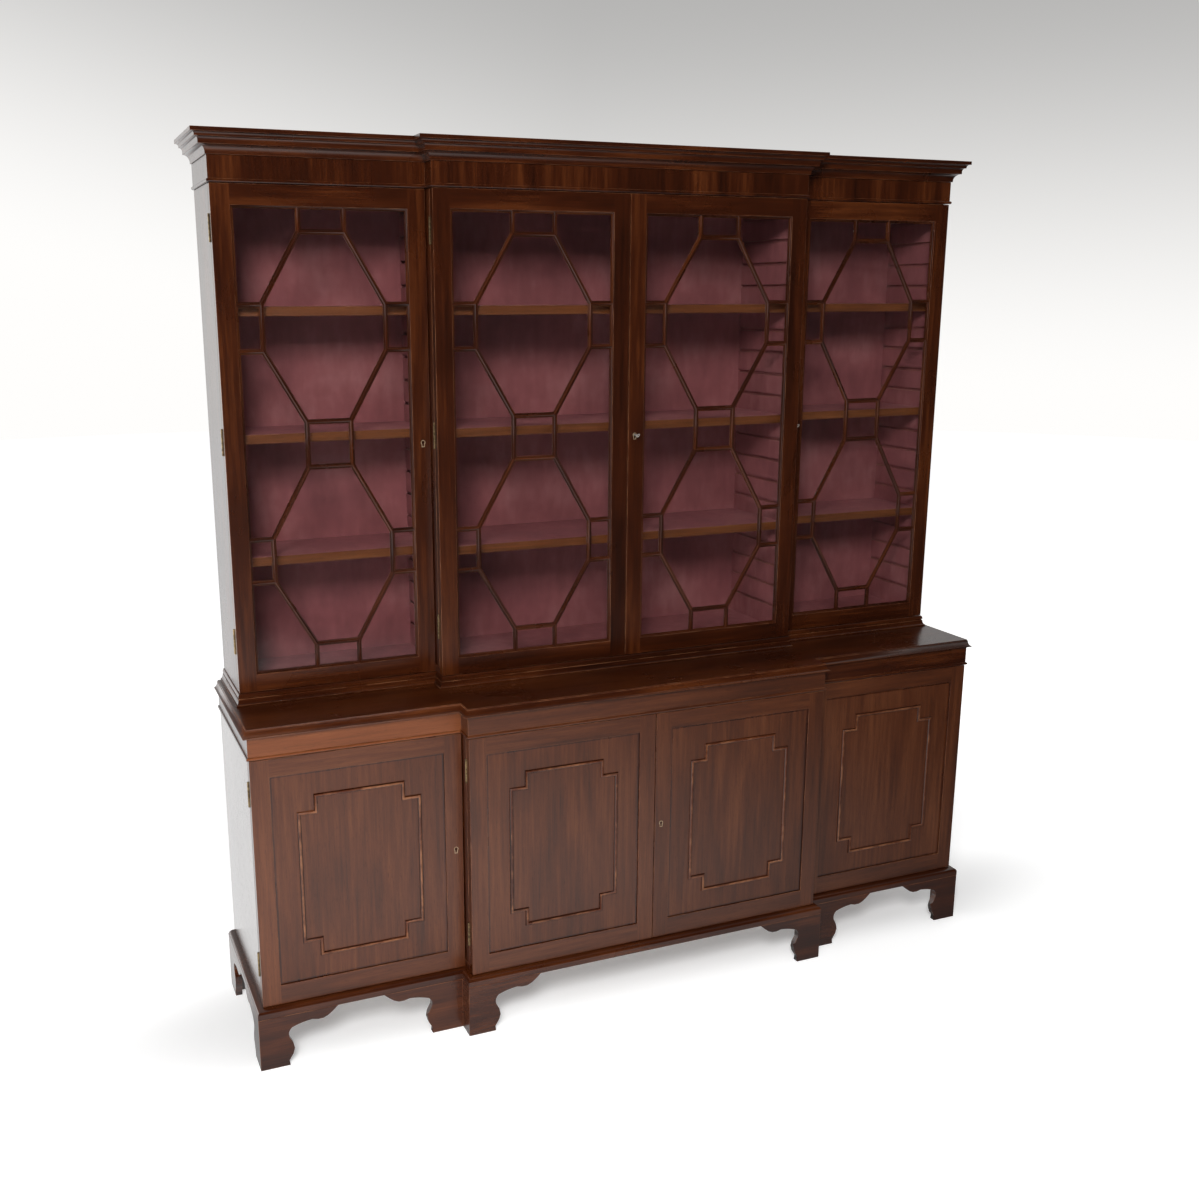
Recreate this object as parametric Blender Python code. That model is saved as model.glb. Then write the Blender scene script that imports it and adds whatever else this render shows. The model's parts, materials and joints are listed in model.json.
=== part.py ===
"""Breakfront bookcase: a glazed upper case on a cupboard, both stepping forward in the middle.

Metres, +Z up, the front faces -Y. The origin is on the floor under the middle of the bookcase.
A depth is measured forwards from the back plane, and `out` is measured outwards from the line
that the door faces and the case sides make seen from above.
"""

import math

import bmesh
import bpy
from mathutils import Matrix, Vector

# Clearances
GAP = 0.0003                     # between pieces that touch
MERGE = 0.00001                  # welding distance inside one piece
DOOR_GAP = 0.0015                # above and below a door
DOOR_BACK_GAP = 0.0015           # between a door's back and the case
MEETING_GAP = 0.002              # between the two middle doors
WING_DOOR_GAP = 0.0025           # between a wing door and the side of the break
CUT_OVERRUN = 0.002              # how far a cutter runs past the surface it opens

# Plan of the two cases
LOWER_WIDTH = 2.100
LOWER_CENTRE_WIDTH = 1.040
LOWER_WING_DEPTH = 0.440         # back plane to the wing doors' faces
LOWER_BREAK = 0.052              # the middle doors stand forward by this
UPPER_WIDTH = 2.066
UPPER_CENTRE_WIDTH = 1.046
UPPER_WING_DEPTH = 0.248
UPPER_BREAK = 0.052

# Heights of the stacked parts
FOOT_HEIGHT = 0.138
BASE_HEIGHT = 0.0235
LOWER_DOOR_HEIGHT = 0.644
LOWER_FRIEZE_HEIGHT = 0.056
LOWER_TOP_THICKNESS = 0.021
WAIST_HEIGHT = 0.0305
UPPER_DOOR_HEIGHT = 1.204
UPPER_FRIEZE_HEIGHT = 0.0595
CORNICE_HEIGHT = 0.054

# Boards
SIDE_THICKNESS = 0.019
PARTITION_THICKNESS = 0.022
BOTTOM_THICKNESS = 0.018
BACK_THICKNESS = 0.010
DUST_BOARD_THICKNESS = 0.012
SHELF_THICKNESS = 0.022
SHELF_SETBACK = 0.007            # a shelf's front edge behind the case's front edge
SHELF_TONGUE = 0.0064
GROOVE_HEIGHT = 0.007
GROOVE_DEPTH = 0.006
GROOVE_PITCH = 0.060
GROOVE_START = 0.063             # lowest groove above the bottom board
GROOVE_STOP = 0.006              # grooves beside the break stop this far behind the wing's edge
SHELF_SHARES = (0.22, 0.5, 0.78)  # which grooves hold shelves, as shares of their rows

# Frames and mouldings that follow the break
RING_WIDTH = 0.045
BASE_RING_WIDTH = 0.060
FRIEZE_PROUD = 0.002             # frieze beyond the case side
BASE_OUT = 0.017
TOP_OUT = 0.010
WAIST_OUT = 0.011
CORNICE_OUT = 0.037
CORNICE_SEAT = 0.022             # cornice resting on the frieze
BEAD_HEIGHT = 0.008
BEAD_OUT = 0.004
MOULDING_STEPS = 4
BASE_PROFILE_SHARES = (("line", 1.0, 0.0), ("line", 1.0, 0.52), ("round", 0.12, 1.0))
TOP_PROFILE_SHARES = (("line", 1.0, 0.0), ("line", 1.0, 0.12), ("hollow", 0.15, 0.85),
                      ("line", 0.0, 0.85), ("line", 0.0, 1.0))
WAIST_PROFILE_SHARES = (("line", 1.0, 0.0), ("line", 1.0, 0.12), ("hollow", 0.42, 0.55),
                        ("line", 0.2, 0.55), ("line", 0.2, 0.66), ("line", 0.42, 0.66),
                        ("round", 0.0, 1.0))
CORNICE_PROFILE_SHARES = (("line", 0.09, 0.0), ("line", 0.09, 0.05), ("hollow", 0.5, 0.38),
                          ("line", 0.53, 0.38), ("line", 0.53, 0.5), ("hollow", 0.93, 0.83),
                          ("line", 1.0, 0.83), ("line", 1.0, 1.0))
BEAD_PROFILE_SHARES = (("line", 0.0, 0.0), ("round", 1.0, 0.5), ("round", 0.0, 1.0))

# Feet
MIDDLE_BRACKET_LENGTH = 0.200
WING_FEET_SPACE = 0.120          # between the brackets under a wing
SIDE_FEET_SPACE = 0.057          # between the brackets under a side
BRACKET_THICKNESS = 0.018
BREAK_BRACKET_EXTRA = 0.010      # the wing's bracket runs in behind the break by this
BLOCK_WIDTH = 0.034
BLOCK_LIFT = 0.002               # glue blocks stay off the floor
FOOT_STEPS = 4
# Straight or bowed stretches from the toe to the top: bow, along and up, each as a share
FOOT_OUTLINE_SHARES = ((0.0, 0.3675, 0.0), (0.0, 0.3625, 0.105), (0.065, 0.372, 0.565),
                       (-0.022, 0.41, 0.75), (-0.01, 0.665, 0.83), (0.045, 0.935, 0.915),
                       (0.0, 1.0, 1.0))

# Doors
DOOR_THICKNESS = 0.022
UPPER_STILE = 0.0445
UPPER_TOP_RAIL = 0.0468
UPPER_BOTTOM_RAIL = 0.0435
LOWER_STILE = 0.046
LOWER_TOP_RAIL = 0.046
LOWER_BOTTOM_RAIL = 0.051
LATTICE_SETBACK = 0.003          # glazing bars behind the door's face
LATTICE_THICKNESS = 0.006
RIM_WIDTH = 0.006
BAR_WIDTH = 0.0105
GLASS_THICKNESS = 0.002
GLASS_LAP = 0.005                # glass beyond the opening, in its rebate
PANEL_SETBACK = 0.004
PANEL_THICKNESS = 0.0055
PANEL_GROOVE_DEPTH = 0.007
PLANTED_WIDTH = 0.010
PLANTED_OUT = 0.0045
PLANTED_SIDE_MARGIN = 0.061      # from the frame to the planted moulding
PLANTED_END_MARGIN = 0.058
PLANTED_STEP = 0.042             # the stepped corner
PLANTED_PROFILE_SHARES = (("line", 0.0, 0.0), ("round", -0.5, 1.0), ("hollow", -1.0, 0.0))
# Lines of the lattice as shares of the glazed opening, along and up
LATTICE_SIDE_SHARE = 0.1425
LATTICE_CENTRE_SHARE = 0.370
LATTICE_LEVEL_SHARES = (0.055, 0.205, 0.301, 0.455, 0.553, 0.704, 0.801, 0.950)

# Hinges
HINGE_HEIGHT = 0.0635
HINGE_OUT = 0.0005               # pin's axis outside the case side
KNUCKLE_RADIUS = 0.003
MIDDLE_KNUCKLE_SHARE = 0.42
KNUCKLE_GAP = 0.0004
PIN_RADIUS = 0.0014
PIN_CLEARANCE = 0.0003
ROUND_SIDES = 8
UPPER_HINGE_TOP = 0.097          # hinge middles from the door's top and bottom
UPPER_HINGE_BOTTOM = 0.127
LOWER_HINGE_TOP = 0.090
LOWER_HINGE_BOTTOM = 0.107

# Locks, drawn with the key's axis at the origin and the bolt moving along +X
UPPER_LOCK_SHARE = 0.497         # lock's height up the door
LOWER_LOCK_SHARE = 0.52
BACKSET = 0.019                  # key's axis from the stile's edge
LOCK_WALL = 0.0018               # wood behind the bolt's room
LOCK_DEPTH = 0.0076              # bolt's room, front to back
BOLT_FOOT = 0.0043               # bolt's lower edge above the key's axis
BOLT_HEIGHT = 0.0115
BOLT_TAIL = 0.0095
BOLT_INSET = 0.0006              # bolt's end inside the door's edge when drawn back
BOLT_THROW = 0.009
BOLT_CLEARANCE = 0.0006
KEY_SHANK_RADIUS = 0.0021
KEY_HOLE_RADIUS = 0.0028
KEY_SLOT_WIDTH = 0.0026
BIT_REACH = 0.0080
BIT_WIDTH = 0.0016
BIT_LEAN = math.radians(45)      # the bit leans this far away when the lock is open
KEY_OUT = 0.020                  # key's bow in front of the door
BOW_RADIUS = 0.0062
BOW_HOLE_RADIUS = 0.0038
BOW_THICKNESS = 0.0020

# Finishes: colour, metallic, roughness
MAHOGANY = ((0.115, 0.035, 0.016), 0.0, 0.35)
MAHOGANY_PANEL = ((0.150, 0.058, 0.030), 0.0, 0.38)
MAROON = ((0.190, 0.070, 0.075), 0.0, 0.85)
PLAIN_WOOD = ((0.230, 0.110, 0.055), 0.0, 0.65)
STEEL = ((0.450, 0.430, 0.400), 1.0, 0.35)
GLASS = ((0.800, 0.850, 0.830), 0.0, 0.05)

# Places worked out from the sizes above
BACK_Y = (LOWER_WING_DEPTH + LOWER_BREAK + BASE_OUT) / 2
BASE_Z0 = FOOT_HEIGHT + GAP
BASE_Z1 = BASE_Z0 + BASE_HEIGHT
LOWER_Z0 = BASE_Z1 + GAP
LOWER_DOOR_Z0 = BASE_Z1 + DOOR_GAP
LOWER_DOOR_Z1 = LOWER_DOOR_Z0 + LOWER_DOOR_HEIGHT
LOWER_FRIEZE_Z0 = LOWER_DOOR_Z1 + DOOR_GAP
LOWER_FRIEZE_Z1 = LOWER_FRIEZE_Z0 + LOWER_FRIEZE_HEIGHT
LOWER_TOP_Z0 = LOWER_FRIEZE_Z1 + GAP
LOWER_TOP_Z1 = LOWER_TOP_Z0 + LOWER_TOP_THICKNESS
WAIST_Z0 = LOWER_TOP_Z1 + GAP
WAIST_Z1 = WAIST_Z0 + WAIST_HEIGHT
UPPER_Z0 = WAIST_Z1 + GAP
UPPER_DOOR_Z0 = WAIST_Z1 + DOOR_GAP
UPPER_DOOR_Z1 = UPPER_DOOR_Z0 + UPPER_DOOR_HEIGHT
UPPER_FRIEZE_Z0 = UPPER_DOOR_Z1 + DOOR_GAP
UPPER_FRIEZE_Z1 = UPPER_FRIEZE_Z0 + UPPER_FRIEZE_HEIGHT
CORNICE_Z0 = UPPER_FRIEZE_Z1 + GAP
CORNICE_Z1 = CORNICE_Z0 + CORNICE_HEIGHT

# The two cases share their functions, so each is described once here
LOWER = dict(name="lower", half=LOWER_WIDTH / 2, half_centre=LOWER_CENTRE_WIDTH / 2,
             wing_depth=LOWER_WING_DEPTH, centre_depth=LOWER_WING_DEPTH + LOWER_BREAK,
             z0=LOWER_Z0, z1=LOWER_FRIEZE_Z0 - GAP, door_z0=LOWER_DOOR_Z0, door_z1=LOWER_DOOR_Z1,
             stile=LOWER_STILE, top_rail=LOWER_TOP_RAIL, bottom_rail=LOWER_BOTTOM_RAIL,
             hinge_top=LOWER_HINGE_TOP, hinge_bottom=LOWER_HINGE_BOTTOM, hinges=2,
             lock_share=LOWER_LOCK_SHARE)
UPPER = dict(name="upper", half=UPPER_WIDTH / 2, half_centre=UPPER_CENTRE_WIDTH / 2,
             wing_depth=UPPER_WING_DEPTH, centre_depth=UPPER_WING_DEPTH + UPPER_BREAK,
             z0=UPPER_Z0, z1=UPPER_FRIEZE_Z0 - GAP, door_z0=UPPER_DOOR_Z0, door_z1=UPPER_DOOR_Z1,
             stile=UPPER_STILE, top_rail=UPPER_TOP_RAIL, bottom_rail=UPPER_BOTTOM_RAIL,
             hinge_top=UPPER_HINGE_TOP, hinge_bottom=UPPER_HINGE_BOTTOM, hinges=3,
             lock_share=UPPER_LOCK_SHARE)
SIDES = (("left", -1), ("right", 1))


def clear_scene():
    """Start from an empty file."""
    for obj in list(bpy.data.objects):
        bpy.data.objects.remove(obj, do_unlink=True)


def y_at(depth):
    """World Y of a depth in front of the back plane."""
    return BACK_Y - depth


# Mesh helpers

def finish_mesh(name, bm):
    """Close a bmesh with its faces pointing out, and turn it into mesh data."""
    bmesh.ops.recalc_face_normals(bm, faces=bm.faces)
    mesh = bpy.data.meshes.new(name)
    bm.to_mesh(mesh)
    bm.free()
    return mesh


def box(*corner_pairs):
    """Boxes between pairs of opposite corners, as one mesh."""
    bm = bmesh.new()
    for first, second in corner_pairs:
        low = Vector(min(a, b) for a, b in zip(first, second))
        high = Vector(max(a, b) for a, b in zip(first, second))
        place = Matrix.Translation((low + high) / 2) @ Matrix.Diagonal((*(high - low), 1))
        bmesh.ops.create_cube(bm, size=1, matrix=place)
    return finish_mesh("box", bm)


def cylinder(radius, start, end):
    """A round bar between two points."""
    start, end = Vector(start), Vector(end)
    axis = end - start
    turn = Vector((0, 0, 1)).rotation_difference(axis).to_matrix().to_4x4()
    bm = bmesh.new()
    bmesh.ops.create_cone(bm, cap_ends=True, segments=ROUND_SIDES, radius1=radius, radius2=radius,
                          depth=axis.length, matrix=Matrix.Translation((start + end) / 2) @ turn)
    return finish_mesh("cylinder", bm)


PLANES = {"XY": Matrix.Identity(4),
          "XZ": Matrix(((1, 0, 0, 0), (0, 0, -1, 0), (0, 1, 0, 0), (0, 0, 0, 1))),
          "YZ": Matrix(((0, 0, 1, 0), (1, 0, 0, 0), (0, 1, 0, 0), (0, 0, 0, 1)))}


def outline(loops, plane, start, end):
    """A flat outline with its holes, drawn in a plane and run from start to end across it."""
    curve = bpy.data.curves.new("outline", "CURVE")
    curve.dimensions = "2D"
    curve.fill_mode = "BOTH"
    curve.extrude = abs(end - start) / 2
    for loop in loops:
        spline = curve.splines.new("POLY")
        spline.points.add(len(loop) - 1)
        for point, (along, up) in zip(spline.points, loop):
            point.co = (along, up, 0, 1)
        spline.use_cyclic_u = True
    guide = bpy.data.objects.new("outline", curve)
    bpy.context.collection.objects.link(guide)
    depsgraph = bpy.context.evaluated_depsgraph_get()
    raw = bpy.data.meshes.new_from_object(guide.evaluated_get(depsgraph))
    bpy.data.objects.remove(guide, do_unlink=True)
    bm = bmesh.new()
    bm.from_mesh(raw)
    bmesh.ops.remove_doubles(bm, verts=bm.verts, dist=MERGE)
    across = PLANES[plane].to_3x3() @ Vector((0, 0, 1))
    middle = [abs(part) * (start + end) / 2 for part in across]
    bmesh.ops.transform(bm, matrix=Matrix.Translation(middle) @ PLANES[plane], verts=bm.verts)
    return finish_mesh("outline", bm)


def moved(mesh, place=(0, 0, 0), side=1, turn=None):
    """A copy of a mesh, mirrored left to right for side -1, turned, then moved."""
    bm = bmesh.new()
    bm.from_mesh(mesh)
    matrix = Matrix.Diagonal((side, 1, 1, 1))
    if turn:
        matrix = turn @ matrix
    bmesh.ops.transform(bm, matrix=Matrix.Translation(place) @ matrix, verts=bm.verts)
    return finish_mesh("copy", bm)


def combined(mesh, operation, *tools):
    """A mesh after Boolean work with each of the tools."""
    body = bpy.data.objects.new("body", mesh)
    bpy.context.collection.objects.link(body)
    helpers = [body]
    for tool in tools:
        cutter = bpy.data.objects.new("tool", tool)
        bpy.context.collection.objects.link(cutter)
        helpers.append(cutter)
        work = body.modifiers.new("work", "BOOLEAN")
        work.operation = operation
        work.solver = "EXACT"
        work.object = cutter
    depsgraph = bpy.context.evaluated_depsgraph_get()
    result = bpy.data.meshes.new_from_object(body.evaluated_get(depsgraph))
    for helper in helpers:
        bpy.data.objects.remove(helper, do_unlink=True)
    return result


def cut(mesh, *tools):
    """A mesh with the tools' shapes taken out."""
    return combined(mesh, "DIFFERENCE", *tools)


def fused(mesh, *tools):
    """A mesh joined with the tools' shapes into one solid."""
    return combined(mesh, "UNION", *tools)


def add_part(name, mesh, finish, pivot=None):
    """Put a finished piece in the scene, with its origin on its pivot if it moves."""
    colour, metallic, roughness = finish
    material = bpy.data.materials.new(name)
    material.use_nodes = True
    shader = material.node_tree.nodes["Principled BSDF"]
    shader.inputs["Base Color"].default_value = (*colour, 1)
    shader.inputs["Metallic"].default_value = metallic
    shader.inputs["Roughness"].default_value = roughness
    if finish is GLASS:
        shader.inputs["Transmission Weight"].default_value = 1
    mesh.materials.clear()
    mesh.materials.append(material)
    obj = bpy.data.objects.new(name, mesh)
    bpy.data.collections["breakfront_bookcase"].objects.link(obj)
    if pivot is not None:
        mesh.transform(Matrix.Translation(-pivot.location))
        obj.parent = pivot
    return obj


def add_pivot(name, place, parent=None):
    """An empty on a joint's axis."""
    pivot = bpy.data.objects.new(name, None)
    pivot.location = place
    bpy.data.collections["breakfront_bookcase"].objects.link(pivot)
    if parent is not None:
        pivot.parent = parent
        pivot.matrix_parent_inverse = Matrix.Translation(parent.location).inverted()
    return pivot


# Lines that follow the break, and mouldings along them

def break_path(half, half_centre, wing_depth, centre_depth):
    """The front and sides seen from above, from the left rear corner to the right rear one."""
    left = [(-half, y_at(0)), (-half, y_at(wing_depth)),
            (-half_centre, y_at(wing_depth)), (-half_centre, y_at(centre_depth))]
    return left + [(-x, y) for x, y in reversed(left)]


def offset_path(path, out, closed=False):
    """The path moved outwards, its corners mitred. Outwards is to the right of its direction."""
    points = [Vector(point) for point in path]
    count = len(points)
    steps = count if closed else count - 1
    normals = []
    for index in range(steps):
        along = (points[(index + 1) % count] - points[index]).normalized()
        normals.append(Vector((along.y, -along.x)))
    moved_points = []
    for index, point in enumerate(points):
        before = normals[index - 1] if closed or index else normals[0]
        after = normals[min(index, steps - 1)]
        mitre = (before + after) / (1 + before.dot(after))
        moved_points.append(point + mitre * out)
    return moved_points


def quarter(start, end, hollow):
    """Points after start on a quarter ellipse to end, hollow or round seen from outside."""
    outwards_first = (end[0] > start[0]) != hollow
    points = []
    for step in range(1, MOULDING_STEPS + 1):
        angle = math.pi / 2 * step / MOULDING_STEPS
        early, late = math.sin(angle), 1 - math.cos(angle)
        across, up = (early, late) if outwards_first else (late, early)
        points.append((start[0] + (end[0] - start[0]) * across,
                       start[1] + (end[1] - start[1]) * up))
    return points


def moulding_profile(shares, out, height):
    """Points (out, up) of a moulding's face, from its foot to its top."""
    points = []
    for kind, out_share, up_share in shares:
        end = (out_share * out, up_share * height)
        if kind == "line":
            points.append(end)
        else:
            points += quarter(points[-1], end, kind == "hollow")
    return points


def loft(rings, closed=False):
    """One solid through rings of matching points."""
    bm = bmesh.new()
    rows = [[bm.verts.new(point) for point in ring] for ring in rings]
    if closed:
        rows.append(rows[0])
    else:
        bm.faces.new(rows[0])
        bm.faces.new(rows[-1])
    for near, far in zip(rows, rows[1:]):
        for index in range(len(near)):
            bm.faces.new((near[index - 1], near[index], far[index], far[index - 1]))
    return finish_mesh("loft", bm)


def mitred_run(path, profile, z0, inner=None, closed=False):
    """A profile carried along a path. `inner` closes it with a flat back that far inside."""
    if inner is not None:
        profile = [(-inner, profile[0][1])] + profile + [(-inner, profile[-1][1])]
    lines = [offset_path(path, out, closed) for out, up in profile]
    rings = []
    for corner in range(len(path)):
        rings.append([(line[corner].x, line[corner].y, z0 + up)
                      for line, (out, up) in zip(lines, profile)])
    return loft(rings, closed)


def moulded_board(path, profile, z0):
    """A board whose front and side edges carry a profile."""
    return loft([[(point.x, point.y, z0 + up) for point in offset_path(path, out)]
                 for out, up in profile])


def ring_frame(path, half, profile, z0, width):
    """A moulded run round the front and sides, with a plain rail behind."""
    reach = half - width / 2
    rail = box(((-reach, y_at(0), z0), (reach, y_at(width), z0 + profile[-1][1])))
    return fused(mitred_run(path, profile, z0, inner=width), rail)


# Feet

def bow(start, end, rise):
    """Points after start on a bowed line to end. A positive rise bows to its right."""
    start, end = Vector(start), Vector(end)
    along = end - start
    across = Vector((along.y, -along.x)).normalized() * rise
    points = []
    for step in range(1, FOOT_STEPS + 1):
        share = step / FOOT_STEPS
        points.append(start + along * share + across * math.sin(math.pi * share))
    return points


def bracket_outline(length, hidden):
    """Outline of a bracket: along from its corner, and up from the floor."""
    points = [Vector((0, 0))]
    for rise_share, along_share, up_share in FOOT_OUTLINE_SHARES:
        end = Vector((along_share * length + hidden, up_share * FOOT_HEIGHT))
        if rise_share:
            points += bow(points[-1], end, rise_share * length)
        else:
            points.append(end)
    return [tuple(point) for point in points + [Vector((0, FOOT_HEIGHT))]]


def bracket(plane, corner, direction, start, end, length, hidden=0):
    """A shaped bracket running from a corner, its thickness from start to end."""
    loop = [(corner + direction * along, up) for along, up in bracket_outline(length, hidden)]
    return outline([loop], plane, start, end)


def block(x, y, side, backward):
    """A glue block in the angle behind the brackets that meet at x and y."""
    near, far = BRACKET_THICKNESS / 2, BRACKET_THICKNESS + BLOCK_WIDTH
    return box(((x - side * near, y + backward * near, BLOCK_LIFT),
                (x - side * far, y + backward * far, FOOT_HEIGHT - BLOCK_LIFT)))


def make_feet():
    """Bracket feet at the corners, at the ends of the break and at the rear."""
    half = LOWER["half"] + BASE_OUT
    centre = LOWER["half_centre"] + BASE_OUT
    wing_y = y_at(LOWER["wing_depth"] + BASE_OUT)
    front_y = y_at(LOWER["centre_depth"] + BASE_OUT)
    rear_y = y_at(0)
    wing_length = (half - centre - WING_FEET_SPACE - BREAK_BRACKET_EXTRA) / 2
    side_length = (rear_y - wing_y - SIDE_FEET_SPACE) / 2
    for side_name, side in SIDES:
        x, inner_x = side * half, side * (half - BRACKET_THICKNESS)
        wing = fused(bracket("XZ", x, -side, wing_y, wing_y + BRACKET_THICKNESS, wing_length),
                     bracket("YZ", wing_y, 1, x, inner_x, side_length), block(x, wing_y, side, 1))
        add_part("foot_wing_" + side_name, wing, MAHOGANY)
        rear = fused(bracket("YZ", rear_y, -1, x, inner_x, side_length), block(x, rear_y, side, -1))
        add_part("foot_rear_" + side_name, rear, MAHOGANY)

        x, inner_x = side * centre, side * (centre - BRACKET_THICKNESS)
        front_end, wing_end = front_y + BRACKET_THICKNESS, wing_y + BRACKET_THICKNESS
        cheek = box(((x, front_y, 0), (inner_x, wing_end, FOOT_HEIGHT)))
        middle = fused(bracket("XZ", x, -side, front_y, front_end, MIDDLE_BRACKET_LENGTH), cheek,
                       bracket("XZ", inner_x, side, wing_y, wing_end, wing_length,
                               hidden=BRACKET_THICKNESS + BREAK_BRACKET_EXTRA),
                       block(x, front_y, side, 1))
        add_part("foot_break_" + side_name, middle, MAHOGANY)


# Cases

def board(x0, x1, depths, z0, z1):
    """An upright board between two depths."""
    return box(((x0, y_at(depths[0]), z0), (x1, y_at(depths[1]), z1)))


def grooves(face_x, inward, depths, levels):
    """Room for a row of shelf grooves in a board's face, between two depths."""
    half = GROOVE_HEIGHT / 2
    outside, floor_x = face_x - inward * CUT_OVERRUN, face_x + inward * GROOVE_DEPTH
    return box(*[((outside, y_at(depths[0]), z - half), (floor_x, y_at(depths[1]), z + half))
                 for z in levels])


def groove_levels(case):
    """Heights of the middles of the upper case's shelf grooves, and of those that hold a shelf."""
    if case is LOWER:
        return [], []
    first = case["z0"] + BOTTOM_THICKNESS + GAP + GROOVE_START
    count = int((case["z1"] - GROOVE_HEIGHT - first) / GROOVE_PITCH) + 1
    levels = [first + index * GROOVE_PITCH for index in range(count)]
    return levels, [levels[round(share * (count - 1))] for share in SHELF_SHARES]


def edge_depth(case, place):
    """Depth of the carcass's front edge behind a wing or middle door."""
    return case[place + "_depth"] - DOOR_THICKNESS - DOOR_BACK_GAP


def make_case(case):
    """Sides, partitions, bottom, back and shelves of one case."""
    name = case["name"]
    half, centre = case["half"], case["half_centre"]
    inner, near_centre = half - SIDE_THICKNESS, centre - PARTITION_THICKNESS
    wing_edge, centre_edge = edge_depth(case, "wing"), edge_depth(case, "centre")
    levels, held = groove_levels(case)
    floor = case["z0"] + BOTTOM_THICKNESS + GAP
    back = BACK_THICKNESS + GAP

    for side_name, side in SIDES:
        panel = board(side * half, side * inner, (0, wing_edge), case["z0"], case["z1"])
        if levels:
            run = (-CUT_OVERRUN, wing_edge + CUT_OVERRUN)
            panel = cut(panel, grooves(side * inner, side, run, levels))
        add_part(f"{name}_side_{side_name}", hinged(panel, case, "wing", side, 1), MAHOGANY)

        panel = board(side * centre, side * near_centre, (back, centre_edge), floor, case["z1"])
        if levels:
            run = (-CUT_OVERRUN, centre_edge + CUT_OVERRUN)
            stopped_run = (-CUT_OVERRUN, wing_edge - GROOVE_STOP)
            panel = cut(panel, grooves(side * near_centre, side, run, levels),
                        grooves(side * centre, -side, stopped_run, levels))
        if is_keyed(case, "wing", side):
            panel = cut(panel, bolt_socket(case, "wing", side))
        add_part(f"{name}_partition_{side_name}", hinged(panel, case, "centre", side, 1), MAHOGANY)

    reach = inner - GAP
    ends = [(-reach, y_at(back)), (-reach, y_at(wing_edge)), (-centre, y_at(wing_edge)),
            (-centre, y_at(centre_edge))]
    loop = ends + [(-x, y) for x, y in reversed(ends)]
    add_part(f"{name}_bottom", outline([loop], "XY", case["z0"], case["z0"] + BOTTOM_THICKNESS),
             MAHOGANY)
    add_part(f"{name}_back", board(-reach, reach, (0, BACK_THICKNESS), case["z0"], case["z1"]), MAROON)

    bays = (("wing_left", -inner, -centre, wing_edge), ("centre", -near_centre, near_centre, centre_edge),
            ("wing_right", centre, inner, wing_edge))
    for bay_name, x0, x1, edge in bays:
        for number, level in enumerate(held, 1):
            add_part(f"shelf_{bay_name}_{number}", shelf(x0, x1, level, back, edge - SHELF_SETBACK),
                     MAROON)


def shelf(x0, x1, level, back, front):
    """A shelf with a tongue at each end that lies in a groove."""
    body0, body1 = x0 + GAP, x1 - GAP
    tongue0, tongue1 = x0 - GROOVE_DEPTH + GAP, x1 + GROOVE_DEPTH - GAP
    half, tongue = SHELF_THICKNESS / 2, SHELF_TONGUE / 2
    loop = [(body0, level - half), (body1, level - half), (body1, level - tongue),
            (tongue1, level - tongue), (tongue1, level + tongue), (body1, level + tongue),
            (body1, level + half), (body0, level + half), (body0, level + tongue),
            (tongue0, level + tongue), (tongue0, level - tongue), (body0, level - tongue)]
    return outline([loop], "XZ", y_at(back), y_at(front))


def make_frames():
    """Base, friezes, tops and mouldings, which all follow the break."""
    lower_path = break_path(LOWER["half"], LOWER["half_centre"], LOWER["wing_depth"],
                            LOWER["centre_depth"])
    upper_path = break_path(UPPER["half"], UPPER["half_centre"], UPPER["wing_depth"],
                            UPPER["centre_depth"])
    lower_frieze_path = break_path(LOWER["half"] + FRIEZE_PROUD, LOWER["half_centre"] + FRIEZE_PROUD,
                                   LOWER["wing_depth"], LOWER["centre_depth"])
    upper_frieze_path = break_path(UPPER["half"] + FRIEZE_PROUD, UPPER["half_centre"] + FRIEZE_PROUD,
                                   UPPER["wing_depth"], UPPER["centre_depth"])

    profile = moulding_profile(BASE_PROFILE_SHARES, BASE_OUT, BASE_HEIGHT)
    base = ring_frame(lower_path, LOWER["half"], profile, BASE_Z0, BASE_RING_WIDTH)
    add_part("base_frame", base, MAHOGANY)

    bead = moulding_profile(BEAD_PROFILE_SHARES, BEAD_OUT, BEAD_HEIGHT)
    frieze = ring_frame(lower_frieze_path, LOWER["half"] + FRIEZE_PROUD,
                        bead + [(0, LOWER_FRIEZE_HEIGHT)], LOWER_FRIEZE_Z0, RING_WIDTH)
    add_part("lower_frieze", frieze, MAHOGANY)

    profile = moulding_profile(TOP_PROFILE_SHARES, TOP_OUT, LOWER_TOP_THICKNESS)
    add_part("lower_top", moulded_board(lower_frieze_path, profile, LOWER_TOP_Z0), MAHOGANY)

    profile = moulding_profile(WAIST_PROFILE_SHARES, WAIST_OUT, WAIST_HEIGHT)
    waist = ring_frame(upper_path, UPPER["half"], profile, WAIST_Z0, RING_WIDTH)
    add_part("waist_moulding", waist, MAHOGANY)

    frieze = ring_frame(upper_frieze_path, UPPER["half"] + FRIEZE_PROUD,
                        bead + [(0, UPPER_FRIEZE_HEIGHT)], UPPER_FRIEZE_Z0, RING_WIDTH)
    add_part("upper_frieze", frieze, MAHOGANY)

    profile = moulding_profile(CORNICE_PROFILE_SHARES, CORNICE_OUT, CORNICE_HEIGHT)
    add_part("cornice", mitred_run(upper_frieze_path, profile, CORNICE_Z0, inner=CORNICE_SEAT),
             MAHOGANY)
    inside = [(point.x, point.y) for point in offset_path(upper_frieze_path, -CORNICE_SEAT - GAP)]
    add_part("upper_top", outline([inside], "XY", CORNICE_Z0, CORNICE_Z0 + DUST_BOARD_THICKNESS),
             PLAIN_WOOD)


# Hinges

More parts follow.
